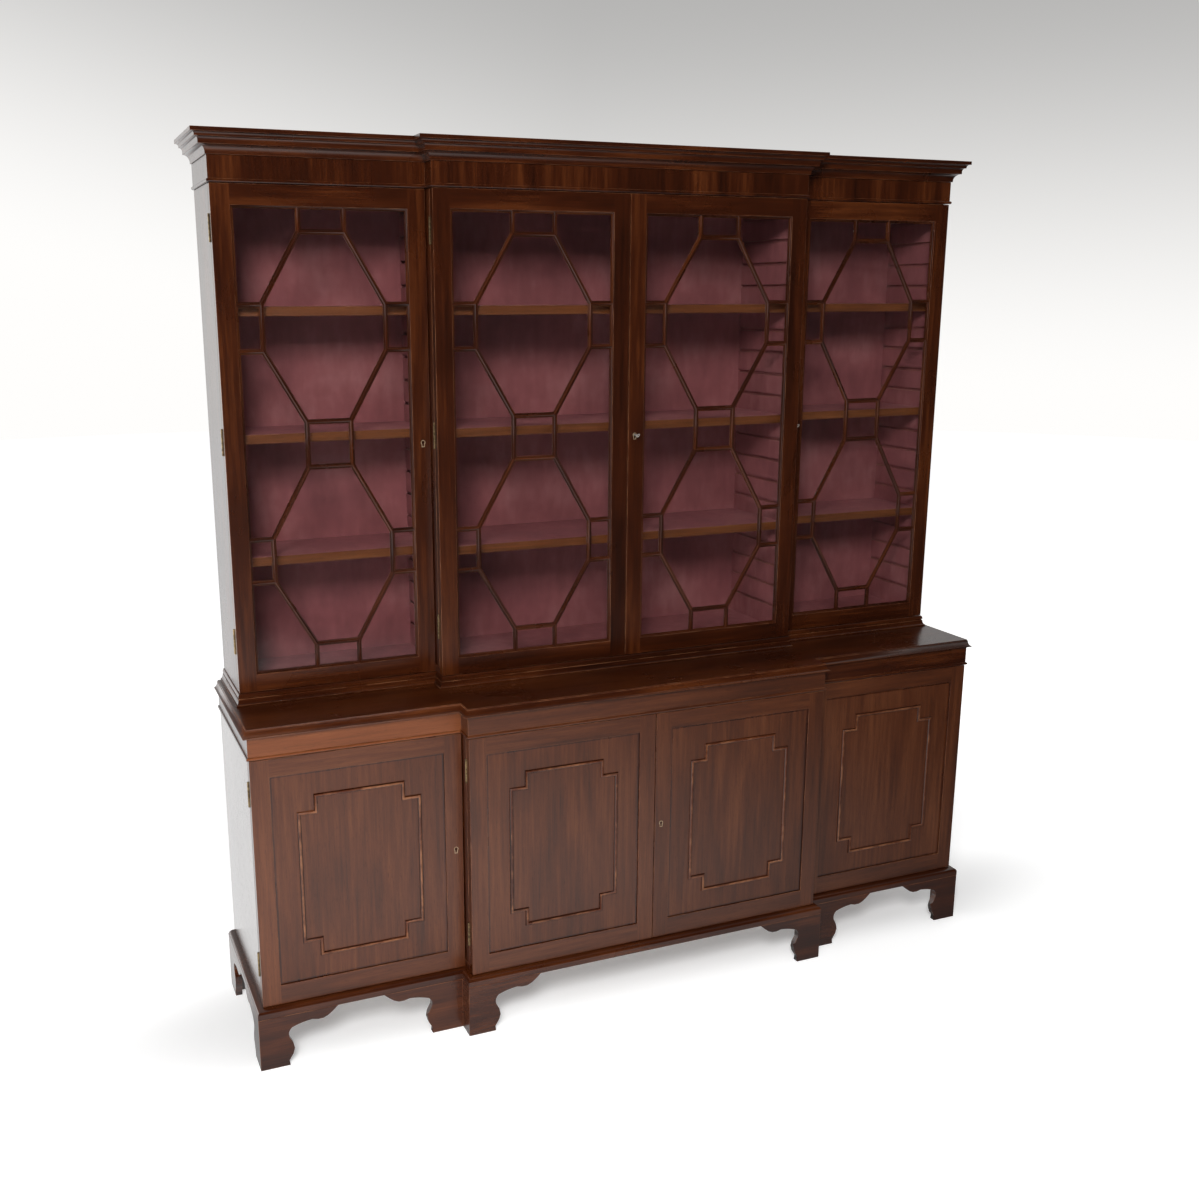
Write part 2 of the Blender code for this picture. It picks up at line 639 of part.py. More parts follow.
def hinge_levels(case):
    """Heights of a door's hinges, from the lowest up."""
    low, high = case["door_z0"] + case["hinge_bottom"], case["door_z1"] - case["hinge_top"]
    return [low + (high - low) * index / (case["hinges"] - 1) for index in range(case["hinges"])]


def hinge_axis(case, place, side):
    """Plan position of a door's hinge pins."""
    edge = case["half"] if place == "wing" else case["half_centre"]
    return side * (edge + HINGE_OUT), y_at(edge_depth(case, place) + DOOR_BACK_GAP / 2)


def hinged(wood, case, place, side, towards):
    """Wood with its halves of a door's hinges: the case's, towards +1, or the door's, towards -1.

    The case carries the middle knuckle and the pin, and the door the two knuckles that turn on it.
    Each has room cut for the other's knuckles.
    """
    x, y = hinge_axis(case, place, side)
    top = HINGE_HEIGHT / 2
    middle = top * MIDDLE_KNUCKLE_SHARE
    near = KNUCKLE_RADIUS + 2 * GAP
    bore_radius = (PIN_RADIUS + PIN_CLEARANCE) / math.cos(math.pi / ROUND_SIDES)
    rooms, hardware, bores = [], [], []
    for z in hinge_levels(case):
        inner = (z - middle, z + middle)
        outer = ((z - top, z - middle - KNUCKLE_GAP), (z + middle + KNUCKLE_GAP, z + top))
        if towards > 0:
            knuckle = cylinder(KNUCKLE_RADIUS, (x, y, inner[0]), (x, y, inner[1]))
            pin = cylinder(PIN_RADIUS, (x, y, z - top), (x, y, z + top))
            hardware.append(fused(knuckle, pin))
            others = outer
        else:
            hardware += [cylinder(KNUCKLE_RADIUS, (x, y, low), (x, y, high)) for low, high in outer]
            bores.append(cylinder(bore_radius, (x, y, z - top - CUT_OVERRUN),
                                  (x, y, z + top + CUT_OVERRUN)))
            others = (inner,)
        rooms += [((x - near, y - near, low - KNUCKLE_GAP), (x + near, y + near, high + KNUCKLE_GAP))
                  for low, high in others]
    return cut(fused(cut(wood, box(*rooms)), *hardware), *bores)


# Locks

def is_keyed(case, place, side):
    """The two locks that have their keys in them."""
    return case is UPPER and side > 0


def has_lock(place, side):
    """The left middle door is held by the bolt of the right one."""
    return place == "wing" or side > 0


def lock_place(case, place, side):
    """Where a lock's key axis meets the door's face."""
    free = case["half_centre"] + WING_DOOR_GAP if place == "wing" else MEETING_GAP / 2
    z = case["door_z0"] + (case["door_z1"] - case["door_z0"]) * case["lock_share"]
    return side * (free + BACKSET), y_at(case[place + "_depth"]), z


ROOM_BACK = DOOR_THICKNESS - LOCK_WALL
ROOM_FRONT = ROOM_BACK - LOCK_DEPTH
BOLT_FRONT, BOLT_BACK = ROOM_FRONT + BOLT_CLEARANCE, ROOM_BACK - BOLT_CLEARANCE
BOLT_TOP = BOLT_FOOT + BOLT_HEIGHT
BOLT_END = BACKSET - BOLT_INSET
BIT_SIDE = BIT_REACH * math.sin(BIT_LEAN) + BIT_WIDTH / 2 * math.cos(BIT_LEAN)


def arc(radius, start, end):
    """Points on a circle between two angles in degrees."""
    points = []
    for step in range(ROUND_SIDES + 1):
        angle = math.radians(start + (end - start) * step / ROUND_SIDES)
        points.append((radius * math.cos(angle), radius * math.sin(angle)))
    return points


def keyhole(depth):
    """A keyhole's room: a round hole with a slot below it, this deep."""
    half = KEY_SLOT_WIDTH / 2
    lean = math.degrees(math.asin(half / KEY_HOLE_RADIUS))
    bottom = -BIT_REACH - BOLT_CLEARANCE / 2
    loop = arc(KEY_HOLE_RADIUS, lean - 90, 270 - lean) + [(-half, bottom), (half, bottom)]
    return outline([loop], "XZ", -CUT_OVERRUN, depth)


def lock_bolt():
    """A bolt drawn back, with the notch that the key's bit moves it by."""
    notch = box(((-BIT_SIDE - BOLT_CLEARANCE, 0, 0),
                 (BIT_SIDE + BOLT_CLEARANCE - BOLT_THROW, DOOR_THICKNESS, BIT_REACH + BOLT_CLEARANCE)))
    return cut(box(((-BOLT_TAIL, BOLT_FRONT, BOLT_FOOT), (BOLT_END, BOLT_BACK, BOLT_TOP))), notch)


def bolt_room():
    """Room in the stile for the bolt and the key's bit, open at the door's edge."""
    tail = -BOLT_TAIL - BOLT_CLEARANCE
    turning = box(((tail, ROOM_FRONT, -BIT_REACH - BOLT_CLEARANCE),
                   (-tail, ROOM_BACK, BOLT_TOP + BOLT_CLEARANCE)))
    slot = box(((0, BOLT_FRONT - GAP, BOLT_FOOT - GAP),
                (BACKSET + CUT_OVERRUN, BOLT_BACK + GAP, BOLT_TOP + GAP)))
    return fused(turning, slot)


def bolt_socket(case, place, side):
    """Room for a thrown bolt in the wood beside the lock."""
    reach = BOLT_END + BOLT_THROW + BOLT_CLEARANCE
    room = box(((BACKSET, BOLT_FRONT - BOLT_CLEARANCE, BOLT_FOOT - BOLT_CLEARANCE),
                (reach, BOLT_BACK + BOLT_CLEARANCE, BOLT_TOP + BOLT_CLEARANCE)))
    return moved(room, lock_place(case, place, side), -side)


def key():
    """A key in its lock, its bit leaning away from the bolt's throw."""
    inside = ROOM_BACK - BOLT_CLEARANCE
    shank = cylinder(KEY_SHANK_RADIUS, (0, (BOW_RADIUS + BOW_HOLE_RADIUS) / 2 - KEY_OUT, 0),
                     (0, inside, 0))
    bit = box(((-BIT_WIDTH / 2, BOLT_FRONT, 0), (BIT_WIDTH / 2, BOLT_BACK, BIT_REACH)))
    rim = [(y - KEY_OUT, z) for y, z in arc(BOW_RADIUS, 0, 360)[:-1]]
    hole = [(y - KEY_OUT, z) for y, z in arc(BOW_HOLE_RADIUS, 0, 360)[:-1]]
    bow_plate = outline([rim, hole], "YZ", -BOW_THICKNESS / 2, BOW_THICKNESS / 2)
    return moved(fused(shank, bit, bow_plate), turn=Matrix.Rotation(-BIT_LEAN, 4, "Y"))


# Doors

def lattice_cells():
    """The fifteen panes of a door, as shares of its opening, each drawn anticlockwise."""
    left, side = LATTICE_CENTRE_SHARE, LATTICE_SIDE_SHARE
    right, far = 1 - left, 1 - side
    foot, low0, low1, middle0, middle1, high0, high1, head = LATTICE_LEVEL_SHARES
    cells = [[(left, bottom), (right, bottom), (right, top), (left, top)]
             for bottom, top in ((0, foot), (middle0, middle1), (head, 1))]
    for bottom, corner0, corner1, top in ((foot, low0, low1, middle0), (middle1, high0, high1, head)):
        cells.append([(left, bottom), (right, bottom), (far, corner0), (far, corner1),
                      (right, top), (left, top), (side, corner1), (side, corner0)])
    column = [[(0, 0), (left, 0), (left, foot), (side, low0), (0, low0)],
              [(0, low0), (side, low0), (side, low1), (0, low1)],
              [(0, low1), (side, low1), (left, middle0), (left, middle1), (side, high0), (0, high0)],
              [(0, high0), (side, high0), (side, high1), (0, high1)],
              [(0, high1), (side, high1), (left, head), (left, 1), (0, 1)]]
    cells += column
    cells += [[(1 - x, z) for x, z in reversed(cell)] for cell in column]
    return cells


def inset_cell(cell, low, high, bar, rim):
    """A pane's outline in metres, inside half a bar on each side, or inside the opening's rim."""
    size = (high[0] - low[0], high[1] - low[1])
    points = [Vector((low[0] + x * size[0], low[1] + z * size[1])) for x, z in cell]
    lines = []
    for index, point in enumerate(points):
        after = (index + 1) % len(points)
        along = (points[after] - point).normalized()
        first, second = cell[index], cell[after]
        on_rim = any(first[axis] == second[axis] and first[axis] in (0, 1) for axis in (0, 1))
        inward = Vector((-along.y, along.x)) * (rim if on_rim else bar)
        lines.append((point + inward, along))
    corners = []
    for index, (point, along) in enumerate(lines):
        before, before_along = lines[index - 1]
        cross = before_along.x * along.y - before_along.y * along.x
        gap = point - before
        reach = (gap.x * along.y - gap.y * along.x) / cross
        corners.append(tuple(before + before_along * reach))
    return corners


def lattice(low, high, face_y):
    """The glazing bars of a door, in one piece."""
    border = [(low[0] + GAP, low[1] + GAP), (high[0] - GAP, low[1] + GAP),
              (high[0] - GAP, high[1] - GAP), (low[0] + GAP, high[1] - GAP)]
    panes = [inset_cell(cell, low, high, BAR_WIDTH / 2, RIM_WIDTH) for cell in lattice_cells()]
    front = face_y + LATTICE_SETBACK
    return outline([border] + panes, "XZ", front, front + LATTICE_THICKNESS)


def stepped_path(low, high, step):
    """A rectangle with a square step taken out of each corner, drawn anticlockwise."""
    (x0, z0), (x1, z1) = low, high
    return [(x0 + step, z0), (x1 - step, z0), (x1 - step, z0 + step), (x1, z0 + step),
            (x1, z1 - step), (x1 - step, z1 - step), (x1 - step, z1), (x0 + step, z1),
            (x0 + step, z1 - step), (x0, z1 - step), (x0, z0 + step), (x0 + step, z0 + step)]


def planted_moulding(low, high, panel_y):
    """The moulding planted on a panel, with stepped corners, rooted in the panel."""
    start = (low[0] + PLANTED_SIDE_MARGIN, low[1] + PLANTED_END_MARGIN)
    end = (high[0] - PLANTED_SIDE_MARGIN, high[1] - PLANTED_END_MARGIN)
    root = -PANEL_THICKNESS / 2
    face = moulding_profile(PLANTED_PROFILE_SHARES, PLANTED_WIDTH, PLANTED_OUT)
    profile = [(face[0][0], root)] + face + [(face[-1][0], root)]
    run = mitred_run(stepped_path(start, end, PLANTED_STEP), profile, 0, closed=True)
    return moved(run, (0, panel_y, 0), turn=PLANES["XZ"])


def make_door(case, place, side_name, side):
    """One door: its frame, its glazing or panel, and the key and bolt of its lock."""
    name = f"{case['name']}_{place}_door_{side_name}"
    outer = side * (case["half"] if place == "wing" else case["half_centre"])
    free = side * (case["half_centre"] + WING_DOOR_GAP if place == "wing" else MEETING_GAP / 2)
    x0, x1, z0, z1 = min(outer, free), max(outer, free), case["door_z0"], case["door_z1"]
    face_y = y_at(case[place + "_depth"])
    back_y = face_y + DOOR_THICKNESS
    low = (x0 + case["stile"], z0 + case["bottom_rail"])
    high = (x1 - case["stile"], z1 - case["top_rail"])
    loops = [[(x0, z0), (x1, z0), (x1, z1), (x0, z1)],
             [low, (high[0], low[1]), high, (low[0], high[1])]]
    frame = outline(loops, "XZ", face_y, back_y)
    pivot = add_pivot(name + "_hinge", (*hinge_axis(case, place, side), (z0 + z1) / 2))

    if case is UPPER:
        glass_y = face_y + LATTICE_SETBACK + LATTICE_THICKNESS + GAP
        lap = GLASS_LAP
        glass = ((low[0] - lap, glass_y, low[1] - lap),
                 (high[0] + lap, glass_y + GLASS_THICKNESS, high[1] + lap))
        rebate = ((low[0] - lap - GAP, glass_y - GAP, low[1] - lap - GAP),
                  (high[0] + lap + GAP, back_y + CUT_OVERRUN, high[1] + lap + GAP))
        frame = cut(frame, box(rebate))
        add_part(name + "_glazing_bars", lattice(low, high, face_y), MAHOGANY, pivot)
        add_part(name + "_glass", box(glass), GLASS, pivot)
    else:
        panel_y = face_y + PANEL_SETBACK
        deep, sunk = PANEL_GROOVE_DEPTH, PANEL_GROOVE_DEPTH - GAP
        panel = ((low[0] - sunk, panel_y, low[1] - sunk),
                 (high[0] + sunk, panel_y + PANEL_THICKNESS, high[1] + sunk))
        groove = ((low[0] - deep, panel_y - GAP, low[1] - deep),
                  (high[0] + deep, panel_y + PANEL_THICKNESS + GAP, high[1] + deep))
        frame = cut(frame, box(groove))
        add_part(name + "_panel", fused(box(panel), planted_moulding(low, high, panel_y)),
                 MAHOGANY_PANEL, pivot)

    if has_lock(place, side):
        spot = lock_place(case, place, side)
        frame = cut(frame, moved(keyhole(ROOM_FRONT + GAP), spot, -side))
        if is_keyed(case, place, side):
            frame = cut(frame, moved(bolt_room(), spot, -side))
            add_part(name + "_key", moved(key(), spot, -side), STEEL,
                     add_pivot(name + "_key_axis", spot, pivot))
            add_part(name + "_bolt", moved(lock_bolt(), spot, -side), STEEL,
                     add_pivot(name + "_bolt_slide", spot, pivot))
    elif is_keyed(case, place, -side):
        frame = cut(frame, bolt_socket(case, place, -side))
    add_part(name + "_frame", hinged(frame, case, place, side, -1), MAHOGANY, pivot)


def main():
    """Build the bookcase."""
    clear_scene()
    parts = bpy.data.collections.new("breakfront_bookcase")
    bpy.context.scene.collection.children.link(parts)
    make_feet()
    make_frames()
    for case in (LOWER, UPPER):
        make_case(case)
        for side_name, side in SIDES:
            for place in ("wing", "centre"):
                make_door(case, place, side_name, side)


main()
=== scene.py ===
"""The breakfront bookcase in old polished mahogany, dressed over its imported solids.

Metres, in the row frame: +X to the right seen from the front, the doors face -Y, +Z up.
"""

import json
import math
import random

import bmesh
import bpy
from mathutils import Matrix, Vector

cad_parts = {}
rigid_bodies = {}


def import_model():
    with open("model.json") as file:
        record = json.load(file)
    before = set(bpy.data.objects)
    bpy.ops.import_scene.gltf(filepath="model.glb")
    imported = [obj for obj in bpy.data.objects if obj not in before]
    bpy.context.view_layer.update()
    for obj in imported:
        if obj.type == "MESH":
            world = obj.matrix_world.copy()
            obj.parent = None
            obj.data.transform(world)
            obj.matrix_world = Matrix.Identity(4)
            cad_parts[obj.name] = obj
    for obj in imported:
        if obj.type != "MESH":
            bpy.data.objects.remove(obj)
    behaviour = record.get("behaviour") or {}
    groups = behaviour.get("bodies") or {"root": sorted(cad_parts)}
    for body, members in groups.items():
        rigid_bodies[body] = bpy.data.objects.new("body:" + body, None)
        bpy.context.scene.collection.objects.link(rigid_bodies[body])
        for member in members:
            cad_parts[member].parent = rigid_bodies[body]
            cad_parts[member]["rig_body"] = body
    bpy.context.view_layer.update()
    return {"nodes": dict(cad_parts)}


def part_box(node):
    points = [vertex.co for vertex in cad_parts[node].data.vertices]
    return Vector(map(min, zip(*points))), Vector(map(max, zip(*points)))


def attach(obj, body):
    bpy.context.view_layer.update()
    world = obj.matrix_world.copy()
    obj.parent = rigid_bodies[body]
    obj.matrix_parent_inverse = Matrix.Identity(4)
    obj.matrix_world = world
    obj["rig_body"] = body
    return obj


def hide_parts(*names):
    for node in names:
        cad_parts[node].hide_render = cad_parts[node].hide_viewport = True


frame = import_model()

# Camera
CAMERA_PLACE = (-1.484, -3.062, 1.8663)
CAMERA_TURN = (76.418, 0.159, -22.275)
CAMERA_LENS = 38.186
CAMERA_SENSOR = 36.0
CAMERA_SHIFT = (0.0496, 0.005)

# Floor: its own light as the camera sees it, lower under the case as a painted shadow, higher clear
# of it and far away
FLOOR_RADIUS = 16.0
FLOOR_GREY = (0.80, 0.80, 0.80, 1)
FLOOR_ROUGHNESS = 0.9
FLOOR_LIFT = 0.26
PAINTED_SHADOW_LIFT = 0.32
FAR_LIFT = 0.35
PAINTED_SHADOW_SCALE = (0.87, 3.6, 0.0)
PAINTED_SHADOW_ROUND = (0.9, 1.5)
PAINTED_SHADOW_FRONT = (-0.10, -0.27)
FAR_AWAY = (1.2, 3.5)

# Floor as polish and glass show it: white near the glare's centre, behind the case and to its left,
# and darker just in front of the case as painted shade
GLARE_CENTRE = (-1.1, -1.3, 0.0)
GLARE_REACH = (3.3, 0.6)
GLARE_FAR = 0.01
GLARE_PAINTED_SHADE = 0.45
GLARE_PAINTED_SHADE_RANGE = (-0.9, -0.3)
GLARE_BEHIND = (-0.3, 0.4)
GLARE_LEFT = (-1.0, -1.5)

# Wall and room: shaded upwards and to the right, and dim in front where polish mirrors it
WALL_SHADE = 0.55
WALL_RISE = (0.03, 0.34)
WALL_LEAN = 0.25
WALL_LEAN_END = 0.4
ROOM_FRONT = (0.1, -0.35)
ROOM_GLARE = 0.014
ROOM_LIGHT = 0.10
ROOM_TINT = (1.0, 0.99, 0.975, 1)

# Lamps: name, place, target, size, watts, spread in degrees, whether polish shows it
LAMPS = (("left_front_lamp", (-2.4, -4.3, 3.9), (-0.3, 0.0, 1.1), 1.3, 275, 180, False),
         ("overhead_front_lamp", (0.8, -2.6, 4.4), (0.2, 0.0, 1.0), 2.6, 10, 180, False),
         ("low_left_lamp", (-2.2, -1.9, 0.5), (-0.7, -0.2, 0.35), 0.8, 5, 70, False),
         ("left_back_lamp", (-3.2, 2.2, 1.0), (-1.05, 0.1, 0.9), 2.4, 26, 180, True),
         ("right_back_lamp", (3.6, 1.6, 1.9), (1.05, 0.1, 1.0), 2.4, 24, 180, False))

# Finishes: how far boards differ in tone, how much darker rails are, and where the tones lie
BOARD_SHADE = 0.05
RAIL_SHADE = 0.02
BOARD_SPREAD = 40
TONE_PLACES = (0.22, 0.5, 0.8)
PORE_COVER = 0.6
PORE_DARK = 0.45
BACK_BOARDS = 10
GLASS_TINT = (0.93, 0.95, 0.94, 1)

# Meshes
MERGE = 0.00002
TOUCH = 0.0003
EDGE_SOFTENING = 0.0007
MOULDING_SOFTENING = 0.0005
TOP_SOFTENING = 0.0004
PLANTED_SOFTENING = 0.0003
LONG_EDGE = 0.018
FLAT_BEND = 0.5
SHARP_BEND = 35
SMOOTH_BEND = 50

# Glazing
BAR_WIDTH = 0.0125
RIM_WIDTH = 0.006
BAR_SETBACK = 0.003
BAR_DEPTH = 0.006
BAR_SHOULDER = 0.45
BAR_BEAD = 0.46
BAR_QUIRK = 0.60
BAR_STEPS = 5
PANE_LAP = 0.003
PANE_THICKNESS = 0.002
PANE_TILT = 0.0010
LATTICE_SIDE = 0.1425
LATTICE_CENTRE = 0.370
LATTICE_LEVELS = (0.055, 0.205, 0.301, 0.455, 0.553, 0.704, 0.801, 0.950)

# Mouldings: where they start and how far they stand out, as shares of each one's size
MOULDING_STEPS = 8
RING_WIDTH = 0.045
BASE_RING_WIDTH = 0.060
CORNICE_SEAT = 0.022
BEAD_OUT = 0.004
BEAD_HEIGHT = 0.008
BASE_SHARES = (("line", 1.0, 0.0), ("line", 1.0, 0.52), ("round", 0.12, 1.0))
WAIST_SHARES = (("line", 1.0, 0.0), ("line", 1.0, 0.12), ("hollow", 0.42, 0.55),
                ("line", 0.2, 0.55), ("line", 0.2, 0.66), ("line", 0.42, 0.66),
                ("round", 0.0, 1.0))
CORNICE_SHARES = (("line", 0.09, 0.0), ("line", 0.09, 0.05), ("hollow", 0.5, 0.38),
                  ("line", 0.53, 0.38), ("line", 0.53, 0.5), ("hollow", 0.70, 0.66),
                  ("line", 0.75, 0.66), ("line", 0.75, 0.70), ("hollow", 0.93, 0.83),
                  ("line", 1.0, 0.83), ("line", 1.0, 1.0))
BEAD_SHARES = (("line", 0.0, 0.0), ("round", 1.0, 0.5), ("round", 0.0, 1.0))
PLANTED_SHARES = (("line", 0.0, 0.0), ("round", -0.5, 1.0), ("hollow", -1.0, 0.0))
PLANTED_WIDTH = 0.010
PLANTED_OUT = 0.0045
PLANTED_MARGIN = (0.061, 0.058)
PLANTED_STEP = 0.042
HIGHLIT_CREST_FACING = -0.85
PAINTED_SHADE_WIDTH = 0.005
PANEL_SETBACK = 0.004
PANEL_THICKNESS = 0.0055
PANEL_HIDDEN = 0.0067

# The case: its doors' faces at the wings and the centre, and half its widths there
FACES = {"lower": (-0.1855, -0.2375), "upper": (0.0065, -0.0455)}
HALVES = {"lower": (1.050, 0.520), "upper": (1.033, 0.523)}
BACK_PLANE = 0.2545
FRIEZE_PROUD = 0.002
KNUCKLE_ROOM = 0.0038

# Hinges
HINGE_LEVELS = {"lower": (0.2703, 0.7173), "upper": (1.0454, 1.5354, 2.0254)}
HINGE_SETBACK = 0.02275
HINGE_OUT = 0.0005
HINGE_HEIGHT = 0.0635
MIDDLE_KNUCKLE = 0.02667
KNUCKLE_GAP = 0.0004
LEAF_SIZE = (0.0155, 0.0008, HINGE_HEIGHT)
BARREL_SIDES = 24
SCREW_SIDES = 16
SCREW_DEPTH = 0.0012
HINGE_SIZES = {"Barrel radius": 0.0031, "Leaf size": LEAF_SIZE, "Screws": 3,
               "Screw step": (0, 0, HINGE_HEIGHT / 3), "Screw radius": 0.0028,
               "Slot size": (0.0052, 0.0018, 0.0006)}

# Locks: how far each is from the middle, and whether its door is a wing's (0) or the centre's (1)
LOCK_LEVELS = {"lower": 0.49818, "upper": 1.51679}
LOCK_SPOTS = {"lower": ((-0.5415, 0), (0.5415, 0), (0.02, 1)),
              "upper": ((-0.5445, 0), (0.5445, 0), (0.02, 1))}

# Keyhole bands: a hole's radius, half its slot's width, and how far the slot drops
KEYHOLE_POINTS = 26
BAND_INSIDE = (0.0041, 0.0025, 0.0101)
BAND_OUTSIDE = (0.0058, 0.0040, 0.0118)
BAND_DEPTH = 0.0030
BAND_PROUD = 0.0004

# Keys: points (along, radius) of the shank from the bow and round its collar, and the bit's corners
KEY_OUT = 0.020
KEY_RADIUS = 0.0062
KEY_HOLE_RADIUS = 0.0037
KEY_LEAN = 45
KEY_NECK = ((0.0, 0.0012), (0.001, 0.0017))
KEY_COLLAR = ((-0.0075, 0.0016), (-0.0070, 0.0021), (-0.0058, 0.0021), (-0.0053, 0.0017),
              (-0.0040, 0.0021))
KEY_BIT = ((-0.0008, 0.0132, 0.0016), (0.0008, 0.0196, 0.0080))
BOW_HALF_THICK = 0.001
SHANK_SIDES = 20
BOW_STEPS = 36
BOW_SIDES = 10

SIDES = {"left": -1, "right": 1}
PLACES = ("wing", "centre")
DOORS = {case: [f"{case}_{place}_door_{side}" for place in PLACES for side in SIDES]
         for case in ("upper", "lower")}
GEOMETRY = {"Geometry": ["Geometry"]}
X, Y, Z = Vector((1, 0, 0)), Vector((0, 1, 0)), Vector((0, 0, 1))


# Node trees

class Tree:
    """A node tree under construction: adds nodes and joins sockets."""

    def __init__(self, tree):
        self.tree = tree

    def feed(self, socket, value):
        """Set a socket to a value, or join to it another socket or a node's first output."""
        if isinstance(value, bpy.types.Node):
            value = value.outputs[0]
        if isinstance(value, bpy.types.NodeSocket):
            self.tree.links.new(value, socket)
        else:
            socket.default_value = value

    def add(self, kind, inputs=None, **settings):
        """A node of this kind, with its inputs fed and its settings set."""
        node = self.tree.nodes.new(kind)
        for key, value in settings.items():
            setattr(node, key, value)
        for key, value in (inputs or {}).items():
            self.feed(node.inputs[key], value)
        return node

    def sum(self, operation, *values):
        """A number worked out from two or three others."""
        return self.add("ShaderNodeMath", dict(enumerate(values)), operation=operation).outputs[0]

    def total(self, start, *parts):
        """A number, plus others each times its share."""
        for value, share in parts:
            start = self.sum("MULTIPLY_ADD", value, share, start)
        return start

    def blend(self, share, *colours):
        """Two colours mixed."""
        first, second = (colour if isinstance(colour, bpy.types.NodeSocket) else (*colour, 1)
                         for colour in colours)
        node = self.add("ShaderNodeMix", {0: share, 6: first, 7: second}, data_type="RGBA")
        return node.outputs[2]

    def ramp(self, value, places, colours):
        """Colours laid along a value from 0 to 1."""
        node = self.add("ShaderNodeValToRGB", {"Fac": value})
        marks = node.color_ramp.elements
        while len(marks) < len(places):
            marks.new(0.5)
        for mark, place, colour in zip(marks, places, colours):
            mark.position = place
            mark.color = (*colour, 1)
        return node.outputs["Color"]

    def rise(self, value, low, high):
        """A smooth step from 0 to 1 as the value goes from low to high."""
        node = self.add("ShaderNodeMapRange", {"Value": value, "From Min": low, "From Max": high},
                        interpolation_type="SMOOTHSTEP")
        return node.outputs["Result"]

    def noise(self, place, scale, detail, roughness, distortion=0.0):
        """Noise at a place stretched by a scale in each direction."""
        mapping = self.add("ShaderNodeMapping", {"Vector": place, "Scale": scale})
        node = self.add("ShaderNodeTexNoise",
                        {"Vector": mapping, "Scale": 1.0, "Detail": detail,
                         "Roughness": roughness, "Distortion": distortion})
        return node.outputs["Fac"]

    def vector(self, operation, *values, **named):
        """A vector worked out from others, or a length or distance."""
        inputs = {**dict(enumerate(values)), **named}
        node = self.add("ShaderNodeVectorMath", inputs, operation=operation)
        return node.outputs["Value" if operation in ("LENGTH", "DISTANCE") else "Vector"]


def new_tree(kind, name, inputs, outputs):
    """A node group with named sockets: its tree, what it is given and what it makes."""
    group = bpy.data.node_groups.new(name, kind + "NodeTree")
    for way, sockets in (("INPUT", inputs), ("OUTPUT", outputs)):
        for shape, labels in sockets.items():
            for label in labels:
                group.interface.new_socket(label, in_out=way, socket_type="NodeSocket" + shape)
    tree = Tree(group)
    return tree, tree.add("NodeGroupInput").outputs, tree.add("NodeGroupOutput").inputs


def grain_effect():
    """Straight-grained mahogany: a tone, its open pores and its height. Grain runs along Z."""
    tree, given, result = new_tree("Shader", "mahogany_grain",
                                   {"Vector": ["Place"], "Float": ["Figure", "Streaks"]},
                                   {"Float": ["Tone", "Pores", "Height"]})
    place = given["Place"]
    figure = tree.noise(place, (11, 11, 2.0), 2.0, 0.5, 0.7)
    streaks = tree.noise(place, (100, 100, 5), 4.0, 0.6)
    fibres = tree.noise(place, (420, 420, 9), 3.0, 0.6)
    pores = tree.rise(tree.noise(place, (1100, 1100, 45), 2.0, 0.5), 0.60, 0.70)
    shares = ((figure, given["Figure"]), (streaks, given["Streaks"]), (fibres, 0.35))
    tone = tree.total(0.5, *((tree.sum("SUBTRACT", part, 0.5), share) for part, share in shares))
    tree.feed(result["Tone"], tone)
    tree.feed(result["Pores"], pores)
    tree.feed(result["Height"], tree.total(0.0, (fibres, 0.3), (pores, -0.8)))
    return tree.tree


def patina_effect():
    """Uneven polish: worn, rubbed and waxed places on old furniture."""
    tree, given, result = new_tree("Shader", "patina", {"Vector": ["Place"]},
                                   {"Float": ["Wear", "Sheen"]})
    clouds = tree.noise(given["Place"], (3.1, 3.1, 2.3), 4.0, 0.6)
    rubs = tree.noise(given["Place"], (26, 26, 26), 4.0, 0.65)
    wear = tree.total(0.0, (clouds, 0.4), (rubs, 0.6))
    tree.feed(result["Wear"], tree.rise(wear, 0.42, 0.62))
    tree.feed(result["Sheen"], clouds)
    return tree.tree


GRAIN = grain_effect()
PATINA = patina_effect()


def new_material(name):
    """A material, its tree, its Principled shader, and the place that it colours."""
    material = bpy.data.materials.new(name)
    material.use_nodes = True
    tree = Tree(material.node_tree)
    shader = tree.tree.nodes["Principled BSDF"]
    return material, tree, shader, tree.add("ShaderNodeTexCoord").outputs["Object"]


def finish_shader(tree, shader, colour, rough, height, strength, depth, others=()):
    """Set a Principled shader, and let a height roughen it."""
    bump = tree.add("ShaderNodeBump", {"Strength": strength, "Distance": depth, "Height": height})
    for label, value in (("Base Color", colour), ("Roughness", rough), ("Normal", bump), *others):
        tree.feed(shader.inputs[label], value)


def end_in_two(tree, share, first, second):
    """End a material in a mix of two shaders."""
    mix = tree.add("ShaderNodeMixShader", {0: share, 1: first, 2: second})
    tree.feed(tree.tree.nodes["Material Output"].inputs["Surface"], mix)


